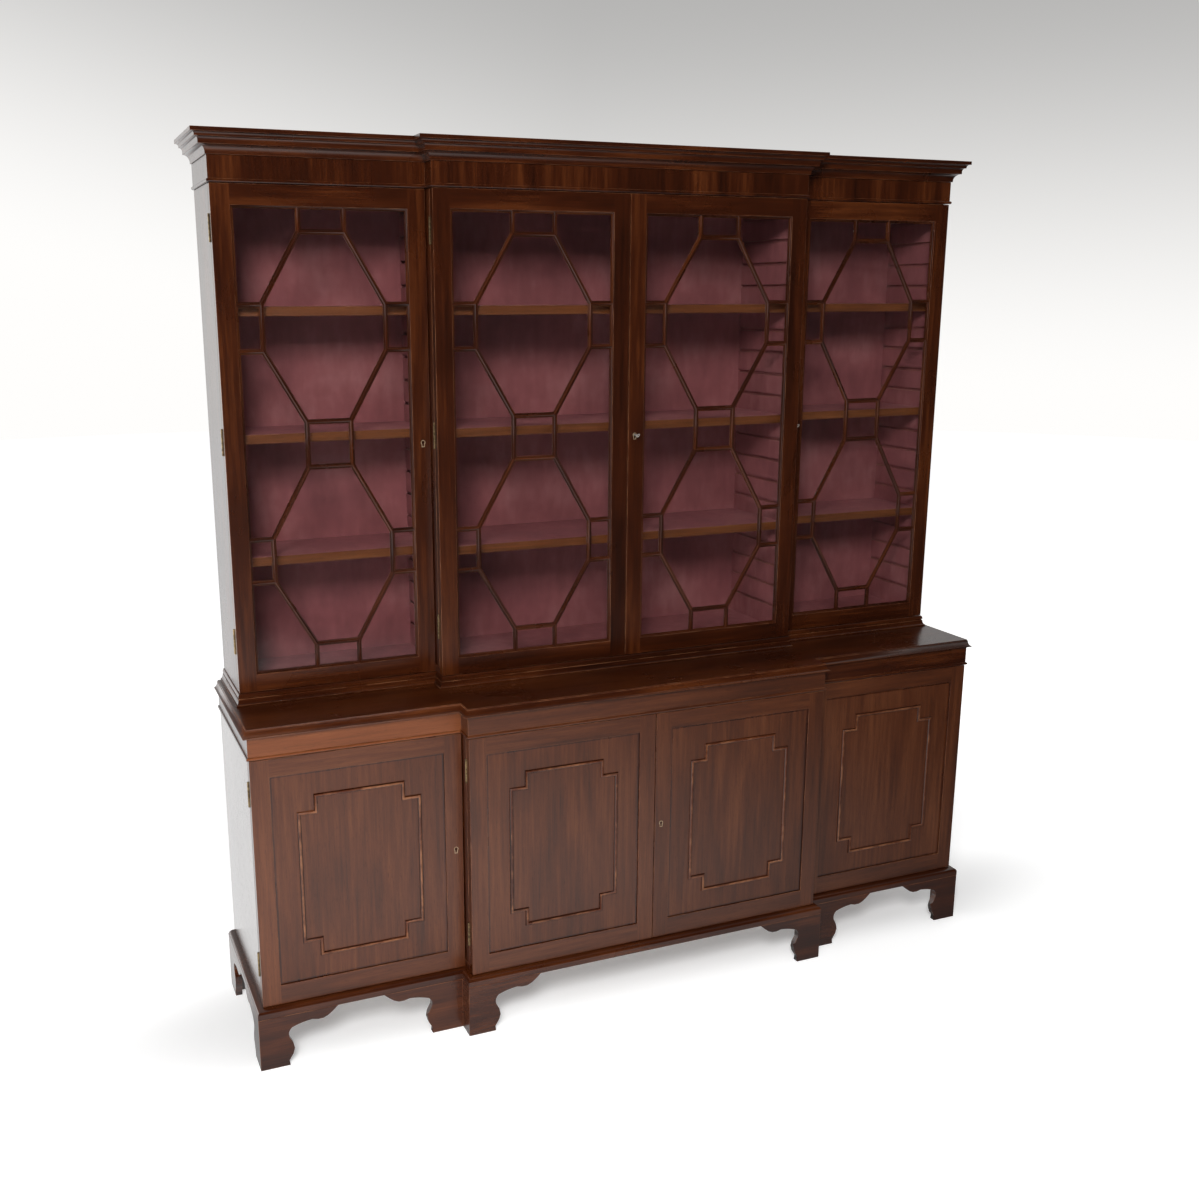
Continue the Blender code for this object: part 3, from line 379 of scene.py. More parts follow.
def mahogany(name, dark, middle, light, figure=0.5, streaks=0.5, roughness=0.34, coat=0.5,
             worn=None):
    """Polished mahogany. Its grain follows the piece's own `grain` attribute."""
    material, tree, shader, spot = new_material(name)
    along = tree.add("ShaderNodeAttribute", attribute_name="grain").outputs["Vector"]
    shade = tree.add("ShaderNodeAttribute", attribute_name="shade").outputs["Fac"]
    grain = tree.add("ShaderNodeGroup", {"Place": along, "Figure": figure, "Streaks": streaks},
                     node_tree=GRAIN).outputs
    patina = tree.add("ShaderNodeGroup", {"Place": spot}, node_tree=PATINA).outputs
    colour = tree.ramp(tree.sum("ADD", grain["Tone"], shade), TONE_PLACES, (dark, middle, light))
    colour = tree.blend(tree.sum("MULTIPLY", grain["Pores"], PORE_COVER), colour,
                        [part * PORE_DARK for part in dark])
    if worn:
        colour = tree.blend(patina["Wear"], colour, worn)
    rough = tree.total(roughness - 0.08, (patina["Sheen"], 0.16), (grain["Pores"], 0.15))
    finish_shader(tree, shader, colour, rough, grain["Height"], 0.25, 0.0002,
                  [("Coat Weight", coat), ("Coat Roughness", 0.18)])
    return material


def maroon_paint():
    """Dusty matt maroon paint inside the case."""
    material, tree, shader, spot = new_material("maroon_paint")
    clouds = tree.noise(spot, (5, 5, 7), 4.0, 0.6)
    smears = tree.noise(spot, (40, 40, 12), 3.0, 0.6)
    colour = tree.ramp(tree.total(0.0, (clouds, 0.65), (smears, 0.35)), (0.3, 0.5, 0.72),
                       ((0.150, 0.043, 0.049), (0.215, 0.067, 0.072), (0.290, 0.115, 0.118)))
    rough = tree.total(0.6, (clouds, 0.2))
    finish_shader(tree, shader, colour, rough, smears, 0.2, 0.0004)
    return material


def old_metal(name, bright, dull, roughness, bare=1.0):
    """Metal dulled by age and handling. `bare` is the share that still shines as metal."""
    material, tree, shader, spot = new_material(name)
    tarnish = tree.rise(tree.noise(spot, (160, 160, 160), 4.0, 0.6), 0.35, 0.65)
    scratches = tree.noise(spot, (900, 900, 60), 2.0, 0.6)
    rough = tree.total(roughness, (tarnish, 0.25), (scratches, 0.1))
    finish_shader(tree, shader, tree.blend(tarnish, bright, dull), rough, scratches, 0.15, 0.0001,
                  [("Metallic", bare)])
    return material


def window_glass():
    """Old clear glass, slightly uneven. Light passes straight through it to the shelves."""
    material, tree, shader, spot = new_material("old_glass")
    waves = tree.noise(spot, (7, 7, 11), 2.0, 0.5)
    finish_shader(tree, shader, GLASS_TINT, 0.0, waves, 0.06, 0.004,
                  [("IOR", 1.5), ("Transmission Weight", 1.0)])
    path = tree.add("ShaderNodeLightPath").outputs
    straight = tree.sum("MAXIMUM", path["Is Shadow Ray"], path["Is Diffuse Ray"])
    end_in_two(tree, straight, shader, tree.add("ShaderNodeBsdfTransparent", {"Color": GLASS_TINT}))
    return material


POLISHED = mahogany("polished_mahogany", (0.014, 0.0032, 0.0013), (0.038, 0.0078, 0.0020),
                    (0.098, 0.025, 0.0060), figure=0.8, streaks=0.6, roughness=0.28)
WAXED = mahogany("waxed_mahogany", (0.018, 0.0035, 0.0012), (0.046, 0.0090, 0.0022),
                 (0.098, 0.024, 0.006), roughness=0.22, coat=1.0)
# Worn edges and crests: rubbed wear, with a lighter painted highlight.
WORN_HIGHLIT = mahogany("worn_mahogany", (0.030, 0.0065, 0.0024), (0.075, 0.018, 0.006),
                (0.135, 0.038, 0.012), roughness=0.38, coat=0.2, worn=(0.22, 0.090, 0.040))
FADED = mahogany("faded_mahogany", (0.032, 0.0096, 0.0048), (0.075, 0.0200, 0.0066),
                 (0.132, 0.041, 0.014), figure=0.6, streaks=0.6, roughness=0.36, coat=0.35)
BARE = mahogany("unpolished_wood", (0.120, 0.055, 0.026), (0.200, 0.098, 0.048),
                (0.290, 0.155, 0.082), streaks=0.6, roughness=0.62, coat=0.0)
# Light mahogany for the lower frieze's left end: sunned wood, its light colour partly painted light
# from the left lamp.
SUNNED_AND_LIT = mahogany("sunned_mahogany", (0.110, 0.030, 0.009), (0.170, 0.050, 0.016),
                  (0.240, 0.082, 0.030), streaks=0.7, roughness=0.40, coat=0.2)
RUBBED = mahogany("rubbed_mahogany", (0.062, 0.016, 0.0045), (0.115, 0.031, 0.0085),
                  (0.175, 0.056, 0.017), streaks=0.9, roughness=0.40, coat=0.2)
MAROON = maroon_paint()
BRASS = old_metal("dull_brass", (0.48, 0.35, 0.18), (0.24, 0.17, 0.10), 0.34)
HANDLED_BRASS = old_metal("handled_brass", (0.56, 0.43, 0.28), (0.36, 0.27, 0.17), 0.36, bare=0.5)
STEEL = old_metal("old_steel", (0.72, 0.70, 0.66), (0.40, 0.37, 0.34), 0.28, bare=0.5)
GLASS = window_glass()
FINISHES = (POLISHED, WORN_HIGHLIT, MAROON, BARE, FADED, SUNNED_AND_LIT, WAXED, RUBBED)
(POLISHED_FACE, WORN_HIGHLIT_FACE, MAROON_FACE, BARE_FACE, FADED_FACE, SUNNED_AND_LIT_FACE,
 WAXED_FACE, RUBBED_FACE) = range(len(FINISHES))


# Pieces

def cut_through(bm, point, normal):
    """Cut a bmesh along a plane. Returns what lies on the cut."""
    return bmesh.ops.bisect_plane(bm, geom=bm.verts[:] + bm.edges[:] + bm.faces[:], dist=MERGE,
                                  plane_co=point, plane_no=normal)["geom_cut"]


def cad_shape(node, joints=()):
    """A CAD piece's shape, its doubles merged and its flat faces whole between the joints."""
    bm = bmesh.new()
    bm.from_mesh(frame["nodes"][node].data)
    bmesh.ops.remove_doubles(bm, verts=bm.verts, dist=MERGE)
    for point, normal in joints:
        for part in cut_through(bm, point, normal):
            if isinstance(part, bmesh.types.BMEdge):
                part.seam = True
    bmesh.ops.dissolve_limit(bm, angle_limit=math.radians(FLAT_BEND), verts=bm.verts,
                             edges=bm.edges, delimit={"SEAM"})
    return bm


def soften(bm, width):
    """Round the long sharp edges. The new faces take the worn finish: rubbed wear, and a painted
    highlight along each edge.
    """
    edges = [edge for edge in bm.edges
             if edge.is_manifold and edge.calc_length() > LONG_EDGE
             and edge.calc_face_angle() > math.radians(SHARP_BEND)]
    bmesh.ops.bevel(bm, geom=edges, offset=width, offset_type="OFFSET", segments=2, profile=0.5,
                    affect="EDGES", clamp_overlap=False, material=WORN_HIGHLIT_FACE)


def longest_way(face):
    """The direction of a face's longest edge."""
    edge = max(face.edges, key=lambda side: side.calc_length())
    return (edge.verts[1].co - edge.verts[0].co).normalized()


def lay_grain(bm, name, board):
    """Write `grain` and `shade`. `board` gives a face's way of grain, its board and its finish."""
    grain = bm.loops.layers.float_vector.new("grain")
    shade = bm.loops.layers.float.new("shade")
    starts, tints = {}, {}
    for face in bm.faces:
        way, label, finish = board(face)
        if face.material_index != WORN_HIGHLIT_FACE:
            face.material_index = finish
        if label not in starts:
            chance = random.Random(f"{name} {label}")
            starts[label] = Vector(chance.uniform(-BOARD_SPREAD, BOARD_SPREAD) for axis in range(3))
            tint = chance.uniform(-BOARD_SHADE, BOARD_SHADE)
            tints[label] = tint - RAIL_SHADE * ("rail" in label)
        side = way.orthogonal().normalized()
        other = way.cross(side)
        for loop in face.loops:
            place = loop.vert.co
            on_board = Vector((place.dot(side), place.dot(other), place.dot(way)))
            loop[grain] = on_board + starts[label]
            loop[shade] = tints[label]


def placed(name, data):
    """A new object in the scene."""
    thing = bpy.data.objects.new(name, data)
    bpy.context.scene.collection.objects.link(thing)
    return thing


def as_made(thing):
    """The plain mesh that an object's modifiers make."""
    depsgraph = bpy.context.evaluated_depsgraph_get()
    return bpy.data.meshes.new_from_object(thing.evaluated_get(depsgraph))


def finished(name, bm, body, finishes, stands_for=(), smooth=True):
    """A piece in the scene that rides on its body."""
    mesh = bpy.data.meshes.new(name)
    bm.to_mesh(mesh)
    bm.free()
    for finish in finishes:
        mesh.materials.append(finish)
    piece = placed(name, mesh)
    if smooth:
        mesh.shade_smooth()
        mesh.set_sharp_from_angle(angle=math.radians(SMOOTH_BEND))
        weigh = piece.modifiers.new("weigh", "WEIGHTED_NORMAL")
        weigh.keep_sharp = True
        weigh.weight = 100
        plain = as_made(piece)
        piece.modifiers.remove(weigh)
        piece.data = plain
        bpy.data.meshes.remove(mesh)
        plain.name = name
    if stands_for:
        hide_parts(*stands_for)
    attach(piece, body)


def dress(node, board, soft=EDGE_SOFTENING, joints=()):
    """A CAD piece with softened edges and laid grain, which stands for the node."""
    bm = cad_shape(node, joints)
    if soft:
        soften(bm, soft)
    lay_grain(bm, node, board)
    finished("dressed_" + node, bm, frame["nodes"][node]["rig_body"], FINISHES, [node])


# Geometry trees, and the plain meshes that they grow

def finish_tree(tree, given, result, shape):
    """End a tree: instances made real, and the finish set."""
    real = tree.add("GeometryNodeRealizeInstances", {"Geometry": shape})
    painted = tree.add("GeometryNodeSetMaterial", {"Geometry": real, "Material": given["Finish"]})
    tree.feed(result["Geometry"], painted)
    return tree.tree


def grown(points, group, values, ways=()):
    """A bmesh of what a tree makes from points, with the tree's inputs set by name."""
    mesh = bpy.data.meshes.new(group.name)
    mesh.from_pydata(points, [], [])
    if ways:
        mitre = mesh.attributes.new("mitre", "FLOAT_VECTOR", "POINT")
        for item, way in zip(mitre.data, ways):
            item.vector = way
    start = placed(group.name, mesh)
    modifier = start.modifiers.new(group.name, "NODES")
    modifier.node_group = group
    for item in group.interface.items_tree:
        if item.in_out == "INPUT" and item.name in values:
            modifier[item.identifier] = values[item.name]
    result = as_made(start)
    bm = bmesh.new()
    bm.from_mesh(result)
    for face in bm.faces:
        face.material_index = 0
    bpy.data.objects.remove(start)
    for used in (mesh, result):
        bpy.data.meshes.remove(used)
    return bm


def skin(bm, rings, closed=False):
    """Faces between each ring of points and the next one, and back to the first if closed."""
    for near, far in zip(rings, rings[1:] + (rings[:1] if closed else [])):
        for index in range(len(near)):
            bm.faces.new((near[index - 1], near[index], far[index], far[index - 1]))


def outwards(bm):
    """Turn a bmesh's faces outwards."""
    bmesh.ops.recalc_face_normals(bm, faces=bm.faces)


def moulded_run_tree():
    """A section carried along a path, mitred at its corners.

    The points are the path's corners, and their `mitre` says where one metre outwards goes.
    """
    tree, given, result = new_tree("Geometry", "moulded_run", {
        **GEOMETRY, "Object": ["Section"], "Vector": ["Rise"], "Float": ["Merge distance"],
        "Material": ["Finish"]}, GEOMETRY)
    path = given["Geometry"]
    section = tree.add("GeometryNodeObjectInfo", {"Object": given["Section"]}).outputs["Geometry"]
    corners, marks = [tree.add("GeometryNodeAttributeDomainSize", {"Geometry": part}
                               ).outputs["Point Count"] for part in (path, section)]
    grid = tree.add("GeometryNodeMeshGrid", {"Vertices X": corners, "Vertices Y": marks})
    index = tree.add("GeometryNodeInputIndex")
    corner, mark = [tree.add("FunctionNodeIntegerMath", {0: index, 1: marks}, operation=operation)
                    for operation in ("DIVIDE", "MODULO")]
    place = tree.add("GeometryNodeInputPosition")
    mitre = tree.add("GeometryNodeInputNamedAttribute", {"Name": "mitre"},
                     data_type="FLOAT_VECTOR")

    def sampled(*sources):
        return tree.add("GeometryNodeSampleIndex", dict(enumerate(sources)),
                        data_type="FLOAT_VECTOR")

    profile = tree.add("ShaderNodeSeparateXYZ", {0: sampled(section, place, mark)}).outputs
    across = tree.vector("SCALE", sampled(path, mitre, corner), Scale=profile["X"])
    upwards = tree.vector("SCALE", given["Rise"], Scale=profile["Z"])
    spot = tree.vector("ADD", sampled(path, place, corner), across)
    spot = tree.vector("ADD", spot, upwards)
    moved = tree.add("GeometryNodeSetPosition", {"Geometry": grid, "Position": spot})
    merged = tree.add("GeometryNodeMergeByDistance",
                      {"Geometry": moved, "Distance": given["Merge distance"]})
    return finish_tree(tree, given, result, merged)


def hinge_half_tree():
    """Half of a butt hinge at each point: its knuckles, its leaf and the leaf's slotted screws."""
    tree, given, result = new_tree("Geometry", "hinge_half", {
        **GEOMETRY, "Float": ["Barrel radius", "Knuckle height", "Screw radius"],
        "Int": ["Knuckles", "Screws"], "Material": ["Finish"],
        "Vector": ["First knuckle", "Knuckle step", "Leaf size", "Leaf place", "First screw",
                   "Screw step", "Slot size"]}, GEOMETRY)

    def repeated(shape, name):
        row = tree.add("GeometryNodeMeshLine", {
            "Count": given[name + "s"], "Start Location": given["First " + name.lower()],
            "Offset": given[name + " step"]})
        return tree.add("GeometryNodeInstanceOnPoints", {"Points": row, "Instance": shape})

    barrel = tree.add("GeometryNodeMeshCylinder", {
        "Vertices": BARREL_SIDES, "Radius": given["Barrel radius"],
        "Depth": given["Knuckle height"]})
    leaf = tree.add("GeometryNodeMeshCube", {"Size": given["Leaf size"]})
    leaf = tree.add("GeometryNodeTransform", {"Geometry": leaf, "Translation": given["Leaf place"]})
    head = tree.add("GeometryNodeMeshCylinder", {
        "Vertices": SCREW_SIDES, "Radius": given["Screw radius"], "Depth": SCREW_DEPTH})
    head = tree.add("GeometryNodeTransform", {"Geometry": head, "Rotation": (math.pi / 2, 0, 0)})
    slot = tree.add("GeometryNodeMeshCube", {"Size": given["Slot size"]})
    screw = tree.add("GeometryNodeMeshBoolean", {"Mesh 1": head, "Mesh 2": slot})
    half = tree.add("GeometryNodeJoinGeometry")
    for part in (repeated(barrel, "Knuckle"), leaf, repeated(screw, "Screw")):
        tree.feed(half.inputs[0], part)
    halves = tree.add("GeometryNodeInstanceOnPoints",
                      {"Points": given["Geometry"], "Instance": half})
    return finish_tree(tree, given, result, halves)


# Lines of mouldings

def break_line(case, out):
    """The front and sides seen from above, from the left rear corner to the right rear one."""
    half, centre = (width + out for width in HALVES[case])
    wing_y, centre_y = FACES[case]
    left = [(-half, BACK_PLANE), (-half, wing_y), (-centre, wing_y), (-centre, centre_y)]
    return left + [(-x, y) for x, y in reversed(left)]


def mitres(path, closed):
    """At each corner of a path, the way that takes all its sides one metre outwards."""
    points = [Vector(point) for point in path]
    sides = [(after - point).normalized() for point, after in zip(points, points[1:] + points[:1])]
    normals = [Vector((side.y, -side.x)) for side in sides]
    if not closed:
        normals[-1] = normals[-2]
    result = []
    for index, after in enumerate(normals):
        before = normals[index - 1] if closed or index else after
        result.append((before + after) / (1 + before.dot(after)))
    return result


def quarter(start, end, hollow):
    """Points after start on a quarter ellipse to end, hollow or round seen from outside."""
    (x0, z0), (x1, z1) = start, end
    outwards_first = (x1 > x0) != hollow
    points = []
    for step in range(1, MOULDING_STEPS + 1):
        angle = math.pi / 2 * step / MOULDING_STEPS
        early, late = math.sin(angle), 1 - math.cos(angle)
        across, up = (early, late) if outwards_first else (late, early)
        points.append((x0 + (x1 - x0) * across, z0 + (z1 - z0) * up))
    return points


def moulding_section(shares, out, height):
    """Points (out, up) of a moulding's face, from its foot to its top."""
    points = []
    for kind, out_share, up_share in shares:
        end = (out_share * out, up_share * height)
        points += [end] if kind == "line" else quarter(points[-1], end, kind == "hollow")
    return points


def moulded_run(path, section, level, upright=True, closed=False):
    """A bmesh of a closed section carried along a path that lies flat, or upright on a door."""
    outline = bpy.data.meshes.new("section")
    outline.from_pydata([(out, 0, up) for out, up in section + section[:1]], [], [])
    marks = placed("section", outline)
    ways = mitres(path, closed)
    if closed:
        path, ways = path + path[:1], ways + ways[:1]
    if upright:
        points = [(x, y, level) for x, y in path]
        ways = [(way.x, way.y, 0) for way in ways]
    else:
        points = [(x, level, z) for x, z in path]
        ways = [(way.x, 0, way.y) for way in ways]
    bm = grown(points, MOULDED_RUN, {"Section": marks, "Rise": (0, 0, 1) if upright else (0, -1, 0),
                                     "Merge distance": MERGE, "Finish": POLISHED}, ways)
    bpy.data.objects.remove(marks)
    bpy.data.meshes.remove(outline)
    bmesh.ops.holes_fill(bm, edges=[edge for edge in bm.edges if edge.is_boundary], sides=0)
    bmesh.ops.dissolve_degenerate(bm, edges=bm.edges, dist=MERGE)
    outwards(bm)
    return bm


def add_block(bm, low, high):
    """A plain block added to a bmesh."""
    made = bmesh.ops.create_cube(bm, size=1)
    middle = (Vector(low) + Vector(high)) / 2
    size = Vector(high) - Vector(low)
    bmesh.ops.scale(bm, verts=made["verts"], vec=size)
    bmesh.ops.translate(bm, verts=made["verts"], vec=middle)


def make_runs():
    """The moulded frames that follow the break, each but the cornice with its plain rail behind."""
    bead = moulding_section(BEAD_SHARES, BEAD_OUT, BEAD_HEIGHT)
    for node, case, proud, shares, width in (
            ("base_frame", "lower", 0, BASE_SHARES, BASE_RING_WIDTH),
            ("lower_frieze", "lower", FRIEZE_PROUD, None, RING_WIDTH),
            ("waist_moulding", "upper", 0, WAIST_SHARES, RING_WIDTH),
            ("upper_frieze", "upper", FRIEZE_PROUD, None, RING_WIDTH),
            ("cornice", "upper", FRIEZE_PROUD, CORNICE_SHARES, CORNICE_SEAT)):
        low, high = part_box(node)
        height = high.z - low.z
        half = HALVES[case][0] + proud
        face = moulding_section(shares, high.x - half, height) if shares else bead + [(0, height)]
        section = [(-width, face[0][1])] + face + [(-width, face[-1][1])]
        bm = moulded_run(break_line(case, proud), section, low.z)
        if node != "cornice":
            add_block(bm, (width - half + TOUCH, BACK_PLANE - width, low.z),
                      (half - width - TOUCH, BACK_PLANE, high.z))
        soften(bm, MOULDING_SOFTENING)
        lay_grain(bm, node, {"lower_frieze": lower_frieze_board,
                             "upper_frieze": upper_frieze_board}.get(node, run_board))
        finished("moulded_" + node, bm, "case", FINISHES, [node])


# Boards of each kind of piece

def one_board(label, finish):
    """One board with its grain across the case."""
    return lambda face: (X, label, finish)


def run_board(face):
    """A moulded run: grain follows the front, and turns with it at each mitre."""
    if abs(face.normal.x) > abs(face.normal.y):
        return Y, "return" + str(face.calc_center_median().x > 0), POLISHED_FACE
    return X, "front" + str(round(face.calc_center_median().x)), POLISHED_FACE


def lower_frieze_board(face):
    """The lower frieze: lightest at its left end and darkest at its right, partly sunned and faded
    wood and partly painted light falling from the left.
    """
    way, label, finish = run_board(face)
    return way, label, {"front-1": SUNNED_AND_LIT_FACE, "front0": FADED_FACE}.get(label, finish)


def upper_frieze_board(face):
    """The upper frieze, veneered with its grain upright."""
    way, label, finish = run_board(face)
    return Z, label, finish


def side_board(sign, outside, inside):
    """A side panel: polished at its front edge, and bare behind."""
    def board(face):
        finish = POLISHED_FACE if face.normal.y < -0.5 else inside
        if face.normal.x * sign > 0.5:
            finish = outside
        return Z, "side", BARE_FACE if face.normal.y > 0.5 else finish
    return board


def partition_board(sign, edge, inside):
    """A partition, polished where it stands forward of the wing."""
    def board(face):
        forward = face.normal.x * sign > 0.5 and face.calc_center_median().y < edge
        return Z, "partition", POLISHED_FACE if face.normal.y < -0.5 or forward else inside
    return board


def bottom_board(inside):
    """A bottom board, polished at its edges."""
    return lambda face: (X, "bottom", POLISHED_FACE if abs(face.normal.z) < 0.5 else inside)


def back_board(low, high):
    """A back of upright boards, painted inside and bare behind."""
    def board(face):
        label = int((face.calc_center_median().x - low.x) / (high.x - low.x) * BACK_BOARDS)
        return Z, str(label), BARE_FACE if face.normal.y > 0.5 else MAROON_FACE
    return board


def shelf_board(face):
    """A shelf, rubbed at its front edge."""
    return X, "shelf", RUBBED_FACE if face.normal.y < -0.5 else MAROON_FACE


def make_case():
    """Frames, boards and shelves of the case."""
    for place in ("wing", "rear", "break"):
        for side in SIDES:
            dress(f"foot_{place}_{side}", run_board)
    dress("lower_top", one_board("top", POLISHED_FACE), soft=TOP_SOFTENING)
    for case, inside, outside in (("lower", BARE_FACE, WAXED_FACE),
                                  ("upper", MAROON_FACE, POLISHED_FACE)):
        for side, sign in SIDES.items():
            dress(f"{case}_side_{side}", side_board(sign, outside, inside))
            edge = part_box(f"{case}_side_{side}")[0].y + KNUCKLE_ROOM
            dress(f"{case}_partition_{side}", partition_board(sign, edge, inside),
                  joints=[(Vector((0, edge, 0)), Y)])
        dress(case + "_bottom", bottom_board(inside))
        low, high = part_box(case + "_back")
        seams = [low.x + (high.x - low.x) * step / BACK_BOARDS for step in range(1, BACK_BOARDS)]
        dress(case + "_back", back_board(low, high), soft=0,
              joints=[(Vector((x, 0, 0)), X) for x in seams])
    dress("upper_top", one_board("board", BARE_FACE))
    for bay in ("wing_left", "centre", "wing_right"):
        for number in (1, 2, 3):
            dress(f"shelf_{bay}_{number}", shelf_board)


def opening_of(door):
    """Corners of a door's opening, and the depth of its face."""
    glazed = door in DOORS["upper"]
    low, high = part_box(door + ("_glazing_bars" if glazed else "_panel"))
    margin = TOUCH if glazed else -PANEL_HIDDEN
    face_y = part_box(door + "_frame")[0].y
    return (low.x - margin, low.z - margin), (high.x + margin, high.z + margin), face_y


def frame_board(low, high, polish):
    """Stiles that run through, and rails between them."""
    def board(face):
        middle = face.calc_center_median()
        # Lower frames: their edge faces, the reveals round the panel among them, are darker than
        # the faded faces as painted shade.
        if polish == FADED_FACE and abs(face.normal.y) < 0.5:
            return longest_way(face), "edge", POLISHED_FACE
        if middle.x < low[0]:
            return Z, "left stile", polish
        if middle.x > high[0]:
            return Z, "right stile", polish
        return X, "top rail" if middle.z > (low[1] + high[1]) / 2 else "bottom rail", polish
    return board


def make_door_frames():
    """Stiles and rails, with their joints where the rails meet the stiles."""
    for case, polish in (("upper", POLISHED_FACE), ("lower", FADED_FACE)):
        for door in DOORS[case]:
            low, high, face_y = opening_of(door)
            dress(door + "_frame", frame_board(low, high, polish),
                  joints=[(Vector((x, 0, 0)), X) for x in (low[0], high[0])])


def stepped_line(low, high, step):
    """A rectangle with a square step taken out of each corner, drawn anticlockwise."""
    (x0, z0), (x1, z1) = low, high
    return [(x0 + step, z0), (x1 - step, z0), (x1 - step, z0 + step), (x1, z0 + step),
            (x1, z1 - step), (x1 - step, z1 - step), (x1 - step, z1), (x0 + step, z1),
            (x0 + step, z1 - step), (x0, z1 - step), (x0, z0 + step), (x0 + step, z0 + step)]


def panel_finishes(low, high, front):
    """Boards of a panel: a painted shade along the frame, the open board, and the planted moulding
    with a painted highlight on its crest.
    """
    def panel_board(face):
        middle = face.calc_center_median()
        if middle.y < front - TOUCH / 2:
            # The crest that faces the front takes the worn finish as a painted highlight.
            highlit_crest = face.normal.y < HIGHLIT_CREST_FACING
            return longest_way(face), "moulding", WORN_HIGHLIT_FACE if highlit_crest else POLISHED_FACE
        # Painted shade: the panel is darker along the frame.
        edge = min(middle.x - low[0], high[0] - middle.x, middle.z - low[1], high[1] - middle.z)
        return Z, "panel", POLISHED_FACE if edge < PAINTED_SHADE_WIDTH else FADED_FACE
    return panel_board


def make_panels():
    """Panels with their planted mouldings."""
    for door in DOORS["lower"]:
        node = door + "_panel"
        low, high, face_y = opening_of(door)
        front = face_y + PANEL_SETBACK
        start = [low[axis] + PLANTED_MARGIN[axis] for axis in (0, 1)]
        end = [high[axis] - PLANTED_MARGIN[axis] for axis in (0, 1)]
        face = moulding_section(PLANTED_SHARES, PLANTED_WIDTH, PLANTED_OUT)
        bm = moulded_run(stepped_line(start, end, PLANTED_STEP), face, front, False, True)
        soften(bm, PLANTED_SOFTENING)
        box_low, box_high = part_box(node)
        add_block(bm, (box_low.x, front, box_low.z),
                  (box_high.x, front + PANEL_THICKNESS, box_high.z))
        # Cut a border along the frame for the painted shade.
        for point, way in ((low, 1), (high, -1)):
            for axis, normal in ((0, X), (1, Z)):
                cut_through(bm, normal * (point[axis] + way * PAINTED_SHADE_WIDTH), normal)
        lay_grain(bm, node, panel_finishes(low, high, front))
        finished(door + "_planted_panel", bm, door, FINISHES, [node])


def lattice_cells():
    """The fifteen panes of a door, as shares of its opening, each drawn anticlockwise."""
    left, side = LATTICE_CENTRE, LATTICE_SIDE
    right, far = 1 - left, 1 - side
    foot, low0, low1, middle0, middle1, high0, high1, head = LATTICE_LEVELS
    cells = [[(left, bottom), (right, bottom), (right, top), (left, top)]
             for bottom, top in ((0, foot), (middle0, middle1), (head, 1))]
    for bottom, corner0, corner1, top in ((foot, low0, low1, middle0),
                                          (middle1, high0, high1, head)):
        cells.append([(left, bottom), (right, bottom), (far, corner0), (far, corner1),
                      (right, top), (left, top), (side, corner1), (side, corner0)])
    column = [[(0, 0), (left, 0), (left, foot), (side, low0), (0, low0)],
              [(0, low0), (side, low0), (side, low1), (0, low1)],
              [(0, low1), (side, low1), (left, middle0), (left, middle1), (side, high0),
               (0, high0)],
              [(0, high0), (side, high0), (side, high1), (0, high1)],
              [(0, high1), (side, high1), (left, head), (left, 1), (0, 1)]]
    cells += column
    cells += [[(1 - x, z) for x, z in reversed(cell)] for cell in column]
    return cells


def inset_cell(cell, low, high, bar, rim):
    """A pane's outline in metres, inside half a bar on each side, or inside the opening's rim."""
    size = (high[0] - low[0], high[1] - low[1])
    points = [Vector((low[0] + x * size[0], low[1] + z * size[1])) for x, z in cell]
    lines = []
    for index, point in enumerate(points):
        after = (index + 1) % len(points)
        along = (points[after] - point).normalized()
        first, second = cell[index], cell[after]
        on_rim = any(first[axis] == second[axis] and first[axis] in (0, 1) for axis in (0, 1))
        inward = Vector((-along.y, along.x)) * (rim if on_rim else bar)
        lines.append((point + inward, along))
    corners = []
    for index, (point, along) in enumerate(lines):
        before, way = lines[index - 1]
        reach = (point - before).cross(along) / way.cross(along)
        corners.append(before + way * reach)
    return corners


def bar_section():
    """Half of a glazing bar's section: share of its half width from the middle, and depth."""
    shoulder = BAR_DEPTH * BAR_SHOULDER
    section = [(0.0, BAR_DEPTH), (1.0, BAR_DEPTH), (1.0, shoulder * 1.2), (0.94, shoulder),
               (BAR_QUIRK, shoulder), (BAR_QUIRK - 0.04, shoulder * 1.4)]
    for step in range(BAR_STEPS + 1):
        angle = math.pi / 2 * step / BAR_STEPS
        section.append((BAR_BEAD * math.cos(angle), shoulder * 1.3 * (1 - math.sin(angle))))
    return section


def glazing_bars(low, high, front):
    """A bmesh of a door's moulded lattice."""
    bm = bmesh.new()
    for cell in lattice_cells():
        rings = []
        for share, depth in bar_section():
            outline = inset_cell(cell, low, high, BAR_WIDTH / 2 * share, RIM_WIDTH * share)
            rings.append([bm.verts.new((point.x, front + depth, point.y)) for point in outline])
        skin(bm, rings)
    bmesh.ops.remove_doubles(bm, verts=bm.verts, dist=MERGE)
    bmesh.ops.bridge_loops(bm, edges=[edge for edge in bm.edges if edge.is_boundary])
    outwards(bm)
    return bm


